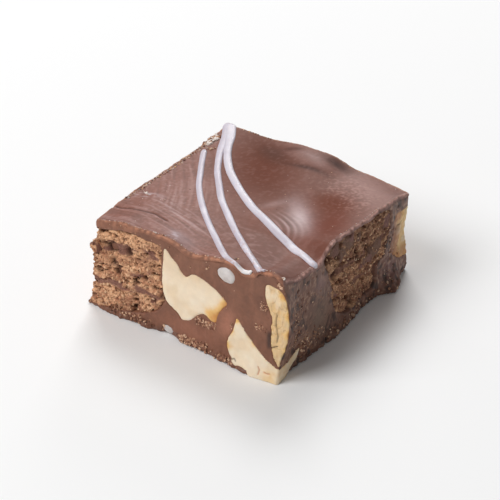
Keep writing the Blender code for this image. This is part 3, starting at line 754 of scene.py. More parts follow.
def add_block():
    s = np.arange(4 * SIDE_CUTS) / SIDE_CUTS
    rim = top_height(*ring(s)) - TUCK
    z = FOOT + np.linspace(0, 1, ROWS)[None] * (rim[:, None] - FOOT)
    wall = Wall(s, z)
    offset = cut_relief(wall) - 1.5 * step(0.1, -0.6, inclusion_distance(wall))
    points = wall.moved(offset - 0.25 * step(0.35, 0.0, wall.top - TUCK - wall.z))
    # The foot is rounded in to the base, and both ends are closed with rings.
    rings = []
    for share, inset, level in ((13 / 27, 0, 0.0), (6 / 27, 0, 0.0), (2 / 27, 0, 0.0), *BASE_EDGE):
        low = points[:, 0] * (1 - share) - wall.normal[:, 0] * inset
        low[:, 2] = level
        rings.append(low)
    below = len(rings)
    rings += [*points.swapaxes(0, 1), *under_top(s, (0.94, 0.85, 0.7, 0.5, 0.25), 1.3)]
    above = len(rings) - ROWS - below
    tints = np.repeat(cut_tints(wall), [1 + below] + [1] * (ROWS - 2) + [1 + above], axis=1)
    points, quads, fans = closed_tube(np.stack(rings, axis=1))
    tints = listed(tints, tints[0, :1], tints[0, :1])
    piece("chocolate_body", points, quads, CHOCOLATE, tints, ["chocolate_block"], sharp=fans)


# --- Topping ---

SHEET_CUTS = 200  # quads along each side of the topping
RIM_RADIUS = 0.55  # rounding of the topping's upper edge
CRACK = (
    (-25.6, -17.0), (-23.4, -17.4), (-20.4, -17.0), (-17.2, -17.1), (-13.8, -16.7), (-11.3, -17.3),
    (-9.0, -17.9),
)


def turned(x, y, degrees):
    """Coordinates along a direction and across it."""
    angle = math.radians(degrees)
    return x * math.cos(angle) + y * math.sin(angle), -x * math.sin(angle) + y * math.cos(angle)


def streaks(x, y, degrees, length, width, seed):
    """Brush-like streaks along a direction, from -1 to 1."""
    along, across = turned(x, y, degrees)
    bend = across + 0.9 * np.sin(along / 7)
    return cloud(np.stack([along / length, bend / width, 0 * x + 4], axis=-1), 1.0, seed, 2)


def stroke(x, y):
    """Streaks of the left third: along the icing, and turning to follow the front near the corner."""
    by_front, by_icing = streaks(x, y, -10, 7.0, 0.55, 42), streaks(x, y, -54, 8.0, 0.55, 41)
    return mix(by_front, by_icing, step(-13, -5, y - 0.15 * x))


def spot(x, y, at, along, across, degrees):
    """1 at a place of the top, falling off over two half lengths along a direction and across it."""
    a, b = turned(x - at[0], y - at[1], degrees)
    return np.exp(-((a / along) ** 2) - (b / across) ** 2)


def swirl(x, y):
    """Rings left where the spoon was lifted, from -1 to 1, and where they show."""
    dx, dy = x - 6.4, y + 12.0
    radius, angle = np.hypot(dx, dy), np.degrees(np.arctan2(dy, dx))
    shown = np.exp(-(((radius - 10.0) / 2.4) ** 2) - ((angle - 52) / 24) ** 2)
    return np.sin((radius + 0.5 * cloud(on_plan(x, y), 5.0, 43)) * 2 * math.pi / 1.5), shown


BACK_SWELL = ((-0.2, 22.8), 6.4, 2.4, -8)
BESIDE_SWELL = ((6.4, 25.0), 3.8, 1.9, -8)
UNDER_SWELL = ((2.6, 18.8), 5.0, 0.8, 6)
SHINE = ((12.6, 0.6), 7.4, 2.5, -50)


def pimples(x, y):
    return spot(x, y, (16.0, 15.6), 9.5, 5.5, -38) * cloud(on_plan(x, y), 0.45, 47, 2)


def top_crack(x, y):
    distance, share = path_distance(CRACK, x, y)
    return np.exp(-((distance / 0.22) ** 2)) * step(0.0, 0.06, share) * step(1.0, 0.85, share)


def top_relief(x, y):
    p = on_plan(x, y)
    ripple, shown = swirl(x, y)
    left = step(-3, -12, 0.78 * x + 0.62 * y)
    return (
        0.05 * cloud(p, 5.0, 45, 2)
        + 0.04 * ripple * shown
        + 0.025 * left * stroke(x, y)
        + 0.035 * pimples(x, y)
        + 0.35 * spot(x, y, *BACK_SWELL)
        - 0.35 * spot(x, y, *BESIDE_SWELL)
        - 0.10 * spot(x, y, *UNDER_SWELL)
        + 0.015 * spot(x, y, (10, -14), 13, 6, -20) * cloud(p, (1.6, 0.8, 1.0), 48, 2)
        - 0.34 * top_crack(x, y)
    )


def top_point(u, v):
    """The finished surface of the topping at plan shares u and v."""
    z = top_height(u, v)
    point = block_point(u, v, z)
    point[..., 2] = z + top_relief(point[..., 0], point[..., 1])
    return point


# Places of the top that differ from the rest: the place, its half lengths along a direction and
# across it, the direction, its colour, how strong that is, and how much rougher it is.
TOP_PLACES = (
    ((-6.5, 13.0), 16.0, 8.5, -42, (101, 49, 29), 1.0, 0.25),
    ((-8.7, 21.5), 7.0, 3.2, -25, (78, 43, 30), 0.80, 0.25),
    ((19.6, 1.5), 12.0, 4.8, -68, (109, 50, 29), 0.95, 0.25),
    ((14.2, 10.6), 4.5, 3.6, 0, (108, 54, 34), 0.85, 0.20),
    # The corner place is painted sheen, and BACK_SWELL is a painted highlight along the swell.
    ((16.5, 21.0), 9.0, 4.6, -30, (156, 112, 102), 0.75, -0.02), (*BACK_SWELL, (132, 92, 84), 0.60, -0.08),
    # BESIDE_SWELL and UNDER_SWELL are painted shade beside the swell and painted shadow below it.
    (*BESIDE_SWELL, (54, 32, 27), 0.85, 0.20), (*UNDER_SWELL, (70, 42, 35), 0.85, 0.12),
    ((-5.4, 24.4), 2.6, 1.0, 20, (66, 38, 30), 0.60, 0.20),
    ((-24.7, 19.2), 2.6, 0.9, 84, (208, 192, 186), 0.80, 0.20),
    # The arc and SHINE are the painted highlight, next to a real lower roughness at SHINE.
    ((4.8, 2.4), 3.6, 1.3, 62, (156, 120, 114), 0.50, -0.05), (*SHINE, (168, 130, 130), 0.65, -0.30),
    ((9.0, -14.5), 13.0, 5.0, -22, (112, 66, 52), 0.65, 0.05),
)


def bloom_and_sheen_places(x, y):
    """Where the topping is mauve from bloom and painted sheen: left of the icing, most of all along a
    brushed band.
    """
    brushed = 0.4 * spot(x, y, (-10, -13.5), 9, 2.4, -22)
    return np.clip(0.7 * step(-1, -14, 0.78 * x + 0.62 * y) + brushed, 0, 1)


def top_gloss(x, y):
    rougher = sum(more * spot(x, y, *place) for *place, _, _, more in TOP_PLACES)
    return np.clip(0.12 + rougher, -0.25, 0.4)


def top_tints(x, y):
    p = on_plan(x, y)
    ripple, shown = swirl(x, y)
    shade, mottle, flecks = cloud(p, 6.0, 51, 3), cloud(p, (1.5, 0.7, 1.0), 53, 2), cloud(p, 0.7, 55, 3)
    mauve, stroked, speckled = bloom_and_sheen_places(x, y), stroke(x, y), cloud(p, 0.6, 57, 2)
    brushed, rough = spot(x, y, (-10.5, -13.2), 9.5, 1.7, -22), 1.4 * pimples(x, y)
    return paint(
        (119, 71, 55),
        # Bloom and painted sheen; the streaks and specks further down lie on the same places.
        ((143, 93, 79), mauve),
        ((140, 90, 76), 0.35 * step(0.1, 0.9, shade)),
        ((102, 60, 47), 0.35 * step(0.1, 0.9, -shade)),
        # The places of the top, among them painted sheen, highlight, shade and shadow.
        *((colour, strength * spot(x, y, *place)) for *place, colour, strength, _ in TOP_PLACES),
        ((182, 144, 138), 0.50 * mauve * step(0.1, 0.8, stroked)),
        ((96, 60, 50), 0.50 * mauve * step(0.1, 0.8, -stroked)),
        ((196, 162, 158), 0.22 * mauve * step(0.2, 1.0, speckled)),
        ((88, 56, 48), 0.24 * mauve * step(0.2, 1.0, -speckled)),
        ((186, 156, 154), 0.6 * brushed * step(-0.2, 0.8, stroked)),
        ((168, 132, 124), 0.4 * spot(x, y, (9, -14.5), 13, 5, -22) * step(0.1, 0.9, mottle)),
        ((216, 200, 206), 0.8 * spot(x, y, (-21.0, -10.2), 2.6, 0.9, 10) * step(-0.3, 0.6, mottle)),
        ((216, 200, 208), 0.8 * spot(x, y, (-4.9, -22.0), 1.8, 0.9, -60) * step(-0.4, 0.5, mottle)),
        ((160, 134, 136), 0.5 * spot(x, y, (-3.6, -21.6), 3.6, 2.0, -20)),
        ((190, 146, 134), 0.30 * step(0.0, 0.9, rough)),
        ((100, 60, 50), 0.30 * step(0.0, 1.0, -rough)),
        # The swirl's light and dark rings are painted highlight and shade on the ripples.
        ((196, 168, 168), 0.6 * shown * step(0.0, 1.0, ripple)),
        ((90, 56, 46), 0.7 * shown * step(0.1, 1.0, -ripple)),
        ((178, 140, 132), 0.09 * step(0.1, 0.9, flecks)),
        ((88, 52, 42), 0.12 * step(0.1, 0.9, -flecks)),
        # Painted shade in the crack.
        ((58, 34, 28), 0.8 * top_crack(x, y)),
    )


def add_topping():
    n = SHEET_CUTS
    g = (np.arange(n + 1) / n - 0.5) * (1 - 0.8 / 26) + 0.5  # the sheet ends a little inside the sides
    sheet = top_point(*rounded(*np.meshgrid(g, g, indexing="ij")))
    sheet_tints = top_tints(sheet[..., 0], sheet[..., 1])

    # Places round the sheet, in the order of ring(), as numbers of the grid.
    first = np.arange(n)
    border = np.concatenate([first * (n + 1), n * (n + 1) + first, (n - first) * (n + 1) + n, n - first])
    start = sheet.reshape(-1, 3)[border]
    s = np.arange(4 * n) / n
    top = top_height(*ring(s))
    wall = Wall(s, (top - 0.5)[:, None])
    normal = wall.normal[:, 0] * (1, 1, 0)
    normal /= np.linalg.norm(normal, axis=1, keepdims=True)
    edge = block_point(*ring(s), top)
    over_wafer = wall.on("front")[:, 0] * step(-4.0, -8.0, edge[:, 0])
    lip = 0.05 + 0.07 * cloud(edge, 1.2, 61, 3) - 0.05 * over_wafer
    hang = 0.9 + 0.7 * over_wafer + (0.28 + 0.15 * over_wafer) * cloud(edge, 2.2, 63, 2)
    rows = []
    for turn in np.radians((15, 32, 50, 68, 90)):
        side = edge + normal * (lip - RIM_RADIUS * (1 - math.sin(turn)))[:, None]
        side[:, 2] = start[:, 2] - RIM_RADIUS * (1 - math.cos(turn)) - 0.02
        rows.append(side)
    for share, out in ((0.45, lip), (0.8, 0.9 * lip), (1.0, 0.4 * lip), (1.08, -0.36 + 0 * lip)):
        side = block_point(*ring(s), top - RIM_RADIUS - (hang - RIM_RADIUS) * share)
        rows.append(side + normal * out[:, None])
    rows += under_top(s, (0.94, 0.8, 0.5), 0.9)
    rim = np.stack(rows, axis=1)
    uneven = np.array([0.3, 0.6, 1, 1, 1, 1, 1, 0.6, 0, 0, 0, 0])[None, :, None]
    rim = rim + uneven * 0.10 * drift(rim, 1.5, 66, 3)
    # Noise for the painted light along the rim's rounded edge.
    painted_rim_light = 0.5 + 0.5 * cloud(rim, 0.8, 65, 3)
    band = np.array([0.4, 0.9, 1.0, 0.7, 0.4] + [0.2] * 7)[None]
    shaded = wall.on("right")
    # Colour of the rim: painted shade on the right side; along the rounded edge the lip's own orange with a
    # painted highlight on the lit sides, a pink painted highlight on the shaded side, and darker patches
    # where the painted light is low.
    rim_tints = paint(
        (138, 92, 72),
        ((112, 78, 70), 0.9 * shaded),
        ((190, 130, 100), band * (0.15 + 0.75 * step(0.3, 0.8, painted_rim_light)) * (1 - shaded)),
        ((216, 168, 156), band * (0.4 + 0.6 * step(0.3, 0.8, painted_rim_light)) * shaded),
        ((104, 64, 50), 0.5 * band * step(0.4, 0.1, painted_rim_light)),
    )
    # The rim hangs on the sheet's border, and a fan closes it below.
    width, centre = rim.shape[1], (n + 1) ** 2 + rim.shape[0] * rim.shape[1]
    number = (n + 1) ** 2 + np.arange(4 * n * width).reshape(4 * n, width)
    loop = np.concatenate([border[:, None], number], axis=1)
    after = np.roll(loop, -1, axis=0)
    sides = np.stack([loop[:, 1:], after[:, 1:], after[:, :-1], loop[:, :-1]], axis=-1).reshape(-1, 4)
    fan = np.stack([np.full(4 * n, centre), after[:, -1], loop[:, -1]], axis=-1)
    points = listed(sheet, rim, rim[:, -1].mean(axis=0))
    tints = listed(sheet_tints, rim_tints, rim_tints[0, :1])
    gloss = np.append(top_gloss(sheet[..., 0], sheet[..., 1]), np.full(rim.shape[0] * width + 1, 0.12))
    faces = np.concatenate([grid_faces(n + 1, n + 1), sides])
    piece("topping_sheet", points, faces, TOPPING, tints, ["topping"], sharp=fan, gloss=gloss)


# --- Icing ---


def share_of(x, y):
    """Plan shares of a point on the top, found by stepping towards it."""
    u, v = (x + 25.5) / 51, (y + 25) / 52
    for _ in range(6):
        point = block_point(u, v, top_height(u, v))
        u, v = np.clip(u + (x - point[..., 0]) / 50.5, 0, 1), np.clip(v + (y - point[..., 1]) / 52, 0, 1)
    return u, v


def surface_height(x, y):
    u, v = share_of(x, y)
    return top_height(u, v) + top_relief(x, y)


def add_line(name, radius, points):
    spine = open_curve(points)
    u, v = share_of(spine[:, 0], spine[:, 1])
    edge = block_point(u, v, top_height(u, v))
    spine = spine[np.hypot(edge[:, 0] - spine[:, 0], edge[:, 1] - spine[:, 1]) < 0.3]
    tangent = np.gradient(spine, axis=0)
    tangent /= np.linalg.norm(tangent, axis=1, keepdims=True)
    across = np.stack([-tangent[:, 1], tangent[:, 0]], axis=-1)
    place = np.concatenate([spine, np.full((len(spine), 1), 5.0 * len(name))], axis=1)
    passed = np.linspace(0, 1, len(spine))
    # Two of the lines start broad where they run together, and the other ends thin on the rim.
    joined = 0.0 if name == "line_left" else 1.0
    thinned = (1 - joined) * step(0.74, 0.86, passed) * step(1.0, 0.96, passed)
    broader = 0.45 * joined * step(0.22, 0.08, passed) - 0.35 * thinned
    wide = radius * (1 + 0.05 * cloud(place, 7.0, 71, 2) + broader)
    tall = radius * (0.55 + 0.03 * cloud(place, 3.5, 73) - 0.15 * joined * step(0.2, 0.04, passed))
    middle = spine + across * (0.08 * cloud(place, 6.0, 75))[:, None]
    ends = np.minimum(np.arange(len(spine)), np.arange(len(spine))[::-1])
    taper = np.sqrt(np.clip((ends + 0.6) / 3.5, 0, 1))
    arch = [(math.cos(a), -0.06 + tall * taper * math.sin(a) ** 0.8) for a in math.pi * np.arange(13) / 12]
    section = []
    for out, lift in arch + [(-0.7, -0.35), (0.0, -0.35), (0.7, -0.35)]:
        x, y = (middle + across * (wide * taper * out)[:, None]).T
        section.append(np.stack([x, y, surface_height(x, y) + lift], axis=-1))
    points, quads, caps = closed_tube(np.stack(section))
    shade, flecks = cloud(points, 3.0, 77, 2), cloud(points, 0.55, 79, 2)
    along = np.append(np.tile(passed, len(section)), [0, 1])
    thin = step(0.55, 0.95, along) * (0.35 if name == "line_right" else 1.0)
    # Painted light: the end of line_left, where it bends down over the rim, is lighter.
    painted_lit_end = (1 - joined) * step(0.84, 0.92, along)
    painted_lit_end[-2:] = 0
    tints = paint(
        (210, 203, 212) if name == "line_right" else (198, 189, 200),
        ((226, 222, 230), 0.4 * step(0, 0.9, shade)),
        ((190, 180, 192), 0.4 * step(0, 0.9, -shade)),
        ((188, 150, 138), 0.8 * thin * step(0.1, 0.7, flecks)),
        ((244, 240, 238), 0.8 * painted_lit_end),
    )
    piece("icing_" + name, points, quads, ICING, tints, ["topping"], sharp=caps)


# --- Nuts and marshmallow ---

SPAN = 0.17  # spacing of the points of a nut or a wafer
SIDE, MARGIN = 52.0, 2.0  # about the length of a side, and how far a grid goes beyond its piece
LEFT_FRONT_CORNER = -26.2  # its place along the front
HIDDEN = 0.75  # pieces end this far below the top, behind the topping's rim


def wall_patch(outlines, low=None, high=None):
    """A fine Wall over the outlines' sides and heights."""
    heights = [z for outline in outlines.values() for _, z in outline]
    low = max((min(heights) if low is None else low) - 1, 0.02)
    high = (max(heights) if high is None else high) + 1
    order = [SIDES.index(side) for side in outlines]
    start, end = 9.0, -9.0
    for k, outline in zip(order, outlines.values()):
        a, b = ((-26, 26), (-26, 27), (25, -26), (27, -25))[k]
        places = [(x - a) / (b - a) for x, _ in outline]
        if k == 0 and 3 in order:
            k = 4  # the front as the side that follows the left one
        first = 0 if len(order) > 1 and k != min(order) else -0.05
        last = 1.05 if len(order) == 1 or k == max(order) else 1
        start = min(start, k + max(min(places) - MARGIN / SIDE, first))
        end = max(end, k + min(max(places) + MARGIN / SIDE, last))
    return Wall(np.arange(start, end, SPAN / SIDE), np.arange(low, high, SPAN)[None])


def add_patch(name, wall, offset, distance, depth, material, tints, nodes, reach=0.7, loose=None):
    """A closed piece over the wall where the distance is in reach, as deep as the topping lets it be."""
    below = wall.top - wall.z
    deep = mix(min(depth, 1.2), depth, step(1.0, 4.0, below))
    front, back = wall.moved(np.maximum(offset, 0.3 - deep)), wall.moved(-deep)
    for side in (front, back):
        side[..., 2] = np.maximum(side[..., 2], 0.02)
    near = (distance < reach) & (below >= HIDDEN)
    keep = near[:-1, :-1] | near[1:, :-1] | near[:-1, 1:] | near[1:, 1:]
    points, faces, used = closed_patch(front, back, keep)
    piece(name, points, faces, material, tints.reshape(-1, 3)[used], nodes, loose=loose)


def add_nut(name, outlines):
    wall = wall_patch(outlines)
    p = wall.point
    distance = wall.distance(outlines) - 0.12 + 0.13 * cloud(p, 1.1, 81, 3)
    offset = 0.07 + 0.05 * cloud(p, 2.2, 83, 2) - 0.3 * np.exp(np.minimum(distance, 0) / 0.22)
    rough = name in ("nut_upright", "nut_right")
    if rough:
        offset += 0.22 * grains(p, (0.7, 0.7, 1.6), 85)[0] - 0.12 + 0.1 * cloud(p, (0.8, 0.8, 2.5), 87, 2)
    gold = wall.near(TOASTED[name]) + 0.30 * step(-0.45, 0.0, distance) + 0.12 * cloud(p, 0.8, 90, 2)
    dark, orange = np.zeros(distance.shape), np.zeros(distance.shape)
    for side, path, is_orange in NUT_CRACKS.get(name, ()):
        away, passed = path_distance(path, wall.along, wall.z)
        line = wall.on(side) * np.exp(-((away / 0.15) ** 2)) * step(0, 0.15, passed) * step(1, 0.85, passed)
        dark, orange = (dark, np.maximum(orange, line)) if is_orange else (np.maximum(dark, line), orange)
    offset = offset - 1.6 * np.maximum(distance, 0) - 0.25 * (dark + orange)
    shade, unevenness = cloud(p, 3.0, 89, 2), cloud(p, 1.6, 86, 3)
    brown = float(name == "nut_right")
    brown_right = brown * wall.on("right")
    vein = 1 - np.clip(np.abs(cloud(p, (1.6, 1.6, 2.6), 88, 2)) / 0.10, 0, 1)
    tints = paint(
        (234, 198, 138) if brown else (222, 190, 146) if rough else (244, 224, 196),
        ((250, 236, 214), 0.5 * step(0.1, 0.9, shade)),
        ((232, 204, 166), 0.5 * step(0.1, 0.9, -shade)),
        ((236, 190, 118), 1.0 * step(0.05, 0.8, gold)),
        ((206, 134, 62), 0.8 * step(0.6, 1.3, gold)),
        # Painted shade: the upper part of nut_large is darker.
        ((222, 192, 156), 0.5 * (name == "nut_large") * step(13.0, 19.0, wall.z)),
        ((150, 106, 62), 0.35 * rough * vein),
        ((186, 128, 92), 0.85 * brown_right * step(25.4, 22.2, wall.along + 1.2 * unevenness)),
        ((142, 92, 68), 0.85 * brown_right * step(23.4, 20.2, wall.along + 1.4 * cloud(p, 1.2, 84, 3))),
        ((196, 134, 76), 0.8 * brown * step(9.5, 6.5, wall.z + 0.8 * unevenness)),
        ((128, 90, 72), 0.7 * brown * wall.near([("right", 22.6, 12.6, 1.3, 1.0)])),
        ((150, 96, 60), step(-0.10, 0.12, distance)),
        # Painted shade in the dark cracks; the orange ones are the nut's own colour.
        ((70, 44, 28), 0.8 * dark),
        ((196, 112, 56), 0.8 * orange),
    )
    add_patch("shown_" + name, wall, offset, distance, 1.6, NUT, tints, [name])


def add_marshmallow(name):
    side, along, height, wide, high = MARSHMALLOWS[name]
    turns = np.linspace(0, 2 * math.pi, 12)[:-1]
    outline = [(along + wide * math.cos(a), height + high * math.sin(a)) for a in turns]
    wall = wall_patch({side: outline}, height - high, height + high)
    p = wall.point
    distance = marshmallow_distance(wall, name) + 0.22 * cloud(p, 2.2, 91, 2)
    offset = 0.32 * (1 - np.exp(np.minimum(distance, 0) / 0.5)) - 0.05 - 1.6 * np.maximum(distance, 0)
    offset = offset + 0.05 * cloud(p, 0.8, 93, 2)
    shade = cloud(p, 1.2, 95, 2)
    tints = paint(
        (208, 200, 196),
        ((184, 170, 164), 0.5 * step(0, 0.8, -shade)),
        ((226, 220, 218), 0.5 * step(0, 0.8, shade)),
    )
    add_patch("shown_" + name, wall, offset, distance, 1.4, ICING, tints, [name])


# --- Wafers ---


def layer_heights(name, wall):
    """Height across a wafer's layers at each point."""
    (pivot, base), tilt, _ = LAYERS[name]
    angle = math.radians(tilt)
    along = wall.along
    if name == "left":  # its layers go level round the corner
        along = np.where(wall.on("left") > 0, LEFT_FRONT_CORNER, along)
    rise = -(along - pivot) * math.sin(angle) + (wall.z - base) * math.cos(angle)
    return rise + 0.5 * cloud(wall.point, 5.0, 101, 2)


def add_wafer(name, outlines, nodes):
    wall = wall_patch(outlines)
    p = wall.point
    ragged = 1.0 if name == "right" else 0.0
    distance = wall.distance(outlines) + 0.45 * cloud(p, 1.6, 103, 2) + 0.7 * ragged * cloud(p, 3.2, 102, 2)
    smear = step(0.35, 0.6, wall.near(SMEARS) + 0.3 * cloud(p, 1.2, 106, 3)) * step(0.3, -0.5, distance)
    rise = layer_heights(name, wall)
    width = 0.9 + 0.5 * cloud(p, (2.0, 2.0, 1.0), 104, 2)
    cream = sum(step(width + 0.2, width - 0.2, np.abs(rise - c)) for c in LAYERS[name][2])
    cream = cream * step(-0.25, 0.15, cloud(p, (4.5, 4.5, 2.0), 105, 2)) * step(-0.6, -1.2, distance)

    # Relief: packed grains, pores between the sheets, pits and the larger holes.
    fine, own = grains(p, (0.72, 0.72, 0.5), 107)
    mid, lump = grains(p, (2.1, 2.1, 1.1), 111)
    holes = wall.near([(*place, radius * 0.8, sunk) for *place, radius, sunk in HOLES])
    pores = step(-0.3, -0.7, np.clip(cloud(p, (2.6, 2.6, 1.0), 115, 2), -1, 1))
    near, _, chance = cells(p + 0.5 * drift(p, 0.9, 123, 2), (1.5, 1.5, 0.8), 121)
    pits = np.where(chance > 0.4, step(0.46, 0.12, near), 0.0) * (1 - 0.8 * cream)
    offset = mix(0.20 * fine + 0.42 * mid - 0.38, -0.40 + 0.06 * fine, cream)
    offset = offset - 1.1 * pores * (1 - 0.7 * cream) - 0.85 * holes - (0.55 + 0.3 * ragged) * pits
    offset = mix(offset, -0.08 + 0.12 * cloud(p, 1.0, 108, 2) - 0.5 * holes, smear)
    offset = offset - 1.2 * np.maximum(distance, 0) - 0.25 * np.exp(np.minimum(distance, 0) / 0.3)

    # How deep the relief sinks, for painted shade in the hollows.
    hollow = np.clip((-offset - 0.3) / 1.4, 0, 1)
    shade = cloud(p, 2.4, 117, 2)
    band = cloud(np.stack([p[..., 0], p[..., 1], 4 * rise], axis=-1), 5.0, 119, 3)
    tints = paint(
        (210, 156, 120),
        ((242, 196, 156), 0.8 * step(0.5, 1.0, own)),
        ((166, 112, 84), 0.8 * step(0.5, 0.0, own)),
        ((168, 116, 88), 0.5 * step(0.4, 1.0, lump)),
        ((140, 94, 72), 0.6 * step(0, 0.8, shade)),
        ((236, 186, 144), 0.6 * step(0.1, 0.8, band)),
        ((240, 190, 146), 0.4 * (1 - ragged) * step(13.0, 18.0, wall.z) * (1 - cream)),
        ((112, 88, 76), 0.3 * ragged * step(13.0, 17.0, wall.z)),
        ((150, 102, 80), 0.6 * step(0.1, 0.8, -band)),
        ((118, 80, 72), 0.85 * cream),
        # Painted shade in the hollows and pits.
        ((60, 36, 26), 0.9 * step(0.2, 0.8, hollow)),
        ((84, 52, 40), 0.7 * pits),
        ((118, 86, 70), 0.38 * ragged * step(1.3, 0.5, own)),
        ((80, 44, 38), 0.8 * ragged * pits),
        ((118, 90, 76), 0.95 * smear),
        ((132, 94, 90), 0.6 * smear * step(0.0, 0.5, cloud(p, 2.4, 109))),
        ((112, 80, 68) if ragged else (132, 90, 74), step(-0.3, 0.2, distance)),
    )

    # Loose grains on the broken face, fewer of them in the holes.
    bare = (distance < -0.15) & (np.maximum(cream, smear) < 0.4) & (wall.top - wall.z > 1.2)
    often = np.where(holes > 0.5, 0.02, 0.075).ravel()
    pick = np.flatnonzero(bare.ravel() & (rng.random(bare.size) < often))
    sizes = 0.10 + 0.26 * rng.random(len(pick)) ** 2
    tone = rng.random(len(pick))
    colours = paint(
        (192, 146, 112),
        ((236, 194, 156), step(0.55, 1.0, tone)),
        ((140, 98, 74), step(0.4, 0.0, tone)),
        ((128, 100, 88), 0.494 * ragged * step(1.1, 0.6, tone)),
        # Painted shade on grains that lie in the hollows.
        ((70, 44, 34), 0.7 * hollow.ravel()[pick]),
    )
    normals = wall.normal.reshape(-1, 3)[pick]
    places = wall.moved(offset).reshape(-1, 3)[pick] + normals * (sizes * 0.25)[:, None]
    loose = chips(places, sizes, normals, colours)
    name = "crumb_" + name
    add_patch(name, wall, offset, distance, 3.2, WAFER, tints, nodes, reach=0.5, loose=loose)


# --- Crumbs ---

# Where crumbs cling: side, along, height, half length, half height, how many, smallest and largest.
CRUMBS = (
    ("front", 19.5, 17.5, 0.9, 1.0, 22, 0.12, 0.28), ("front", 24.9, 23.9, 0.6, 0.5, 12, 0.18, 0.40),
    ("front", 19.0, 12.1, 1.2, 0.7, 30, 0.12, 0.30), ("front", 12.2, 9.8, 0.3, 0.9, 12, 0.12, 0.28),
    ("front", 5.8, 21.4, 0.8, 0.8, 5, 0.12, 0.24), ("front", 0.4, 19.3, 0.3, 0.4, 3, 0.14, 0.26),
    ("front", -8.4, 7.4, 0.5, 0.7, 9, 0.30, 0.55), ("front", 9.8, 15.6, 0.4, 0.8, 4, 0.12, 0.20),
    ("front", 5.8, 7.5, 2.6, 0.9, 70, 0.16, 0.36), ("front", 3.0, 1.5, 4.0, 1.0, 120, 0.18, 0.42),
    ("front", 12.0, 1.0, 4.0, 0.7, 40, 0.15, 0.34), ("front", -14.0, 1.6, 9.0, 0.9, 60, 0.15, 0.40),
    ("front", -14.0, 22.0, 9.0, 0.5, 22, 0.10, 0.20), ("front", 0.0, 12.0, 24.0, 9.0, 50, 0.07, 0.15),
    ("right", -16.4, 4.4, 2.0, 1.6, 60, 0.16, 0.38), ("right", -19.5, 9.1, 1.8, 2.2, 20, 0.12, 0.28),
    ("right", -11.3, 4.6, 2.6, 1.8, 26, 0.12, 0.30), ("right", -14.8, 14.8, 4.0, 2.0, 20, 0.10, 0.24),
    ("right", -21.0, 13.0, 3.4, 7.0, 90, 0.10, 0.24), ("right", -15.0, 4.0, 4.4, 3.0, 50, 0.12, 0.30),
    ("right", 4.0, 13.0, 9.0, 7.0, 90, 0.12, 0.28), ("right", 19.5, 9.0, 3.0, 6.0, 40, 0.12, 0.28),
    ("right", 2.0, 1.6, 16.0, 1.0, 70, 0.15, 0.38), ("right", 0.0, 12.0, 24.0, 9.0, 70, 0.08, 0.18),
    ("left", 8.0, 11.0, 20.0, 8.0, 70, 0.08, 0.20), ("left", 6.0, 1.6, 18.0, 1.0, 70, 0.15, 0.38),
    ("left", -6.0, 8.0, 3.0, 6.0, 40, 0.14, 0.34), ("back", 0.0, 11.0, 24.0, 8.0, 80, 0.08, 0.20),
    ("back", 0.0, 1.6, 22.0, 1.0, 80, 0.15, 0.38), ("back", -11.0, 1.8, 8.0, 1.0, 30, 0.14, 0.34),
)
EDGE = 0.012  # how near to a corner crumbs come, as a share of a side


def side_shares(side, along):
    """The place round the block for a place along a side."""
    k = SIDES.index(side)
    low, high = ((-26, 26), (-26.5, 27), (24.5, -26.5), (27, -25))[k]
    return k + np.clip((along - low) / (high - low), EDGE, 1 - EDGE)


def scattered(centre, half, count):
    return centre + half * rng.normal(size=count).clip(-1.6, 1.6) * 0.62


def lay_crumbs(name, groups, node):
    """One piece of all the groups of crumbs: places, sizes, normals and tints."""
    points, faces, tints = chips(*(np.concatenate(part) for part in zip(*groups)))
    piece(name, points, [], WAFER, tints, [node], sharp=faces)


def add_crumbs():
    groups = []
    for side, along, height, long, high, count, small, large in CRUMBS:
        places = scattered(along, long, count)
        heights = np.maximum(scattered(height, high, count), 0.25)
        wall = Wall(side_shares(side, places), heights[:, None])
        size = rng.uniform(small, large, count)
        bare = [wall.distance(outlines)[:, 0] for name, outlines in NUTS.items() if name != "nut_right"]
        kept = (np.minimum.reduce(bare) > 0.1) & (heights < wall.top[:, 0] - 0.4)
        tone, shaded = rng.random(count), side == "right"
        colour = paint(
            (176, 130, 104),
            ((226, 188, 158), step(0.6, 1.0, tone)),
            ((122, 82, 66), step(0.45, 0.1, tone)),
            # Painted shade on the crumbs of the shaded right side; the pale specks there are their own
            # colour.
            ((128, 98, 84), 0.20 * shaded * step(1.0, 0.7, tone)),
            ((238, 204, 174), 0.6 * shaded * step(0.55, 0.85, tone)),
        )
        groups.append((wall.point[:, 0][kept], size[kept], wall.normal[:, 0][kept], colour[kept]))
    lay_crumbs("crumbs_on_sides", groups, "chocolate_block")


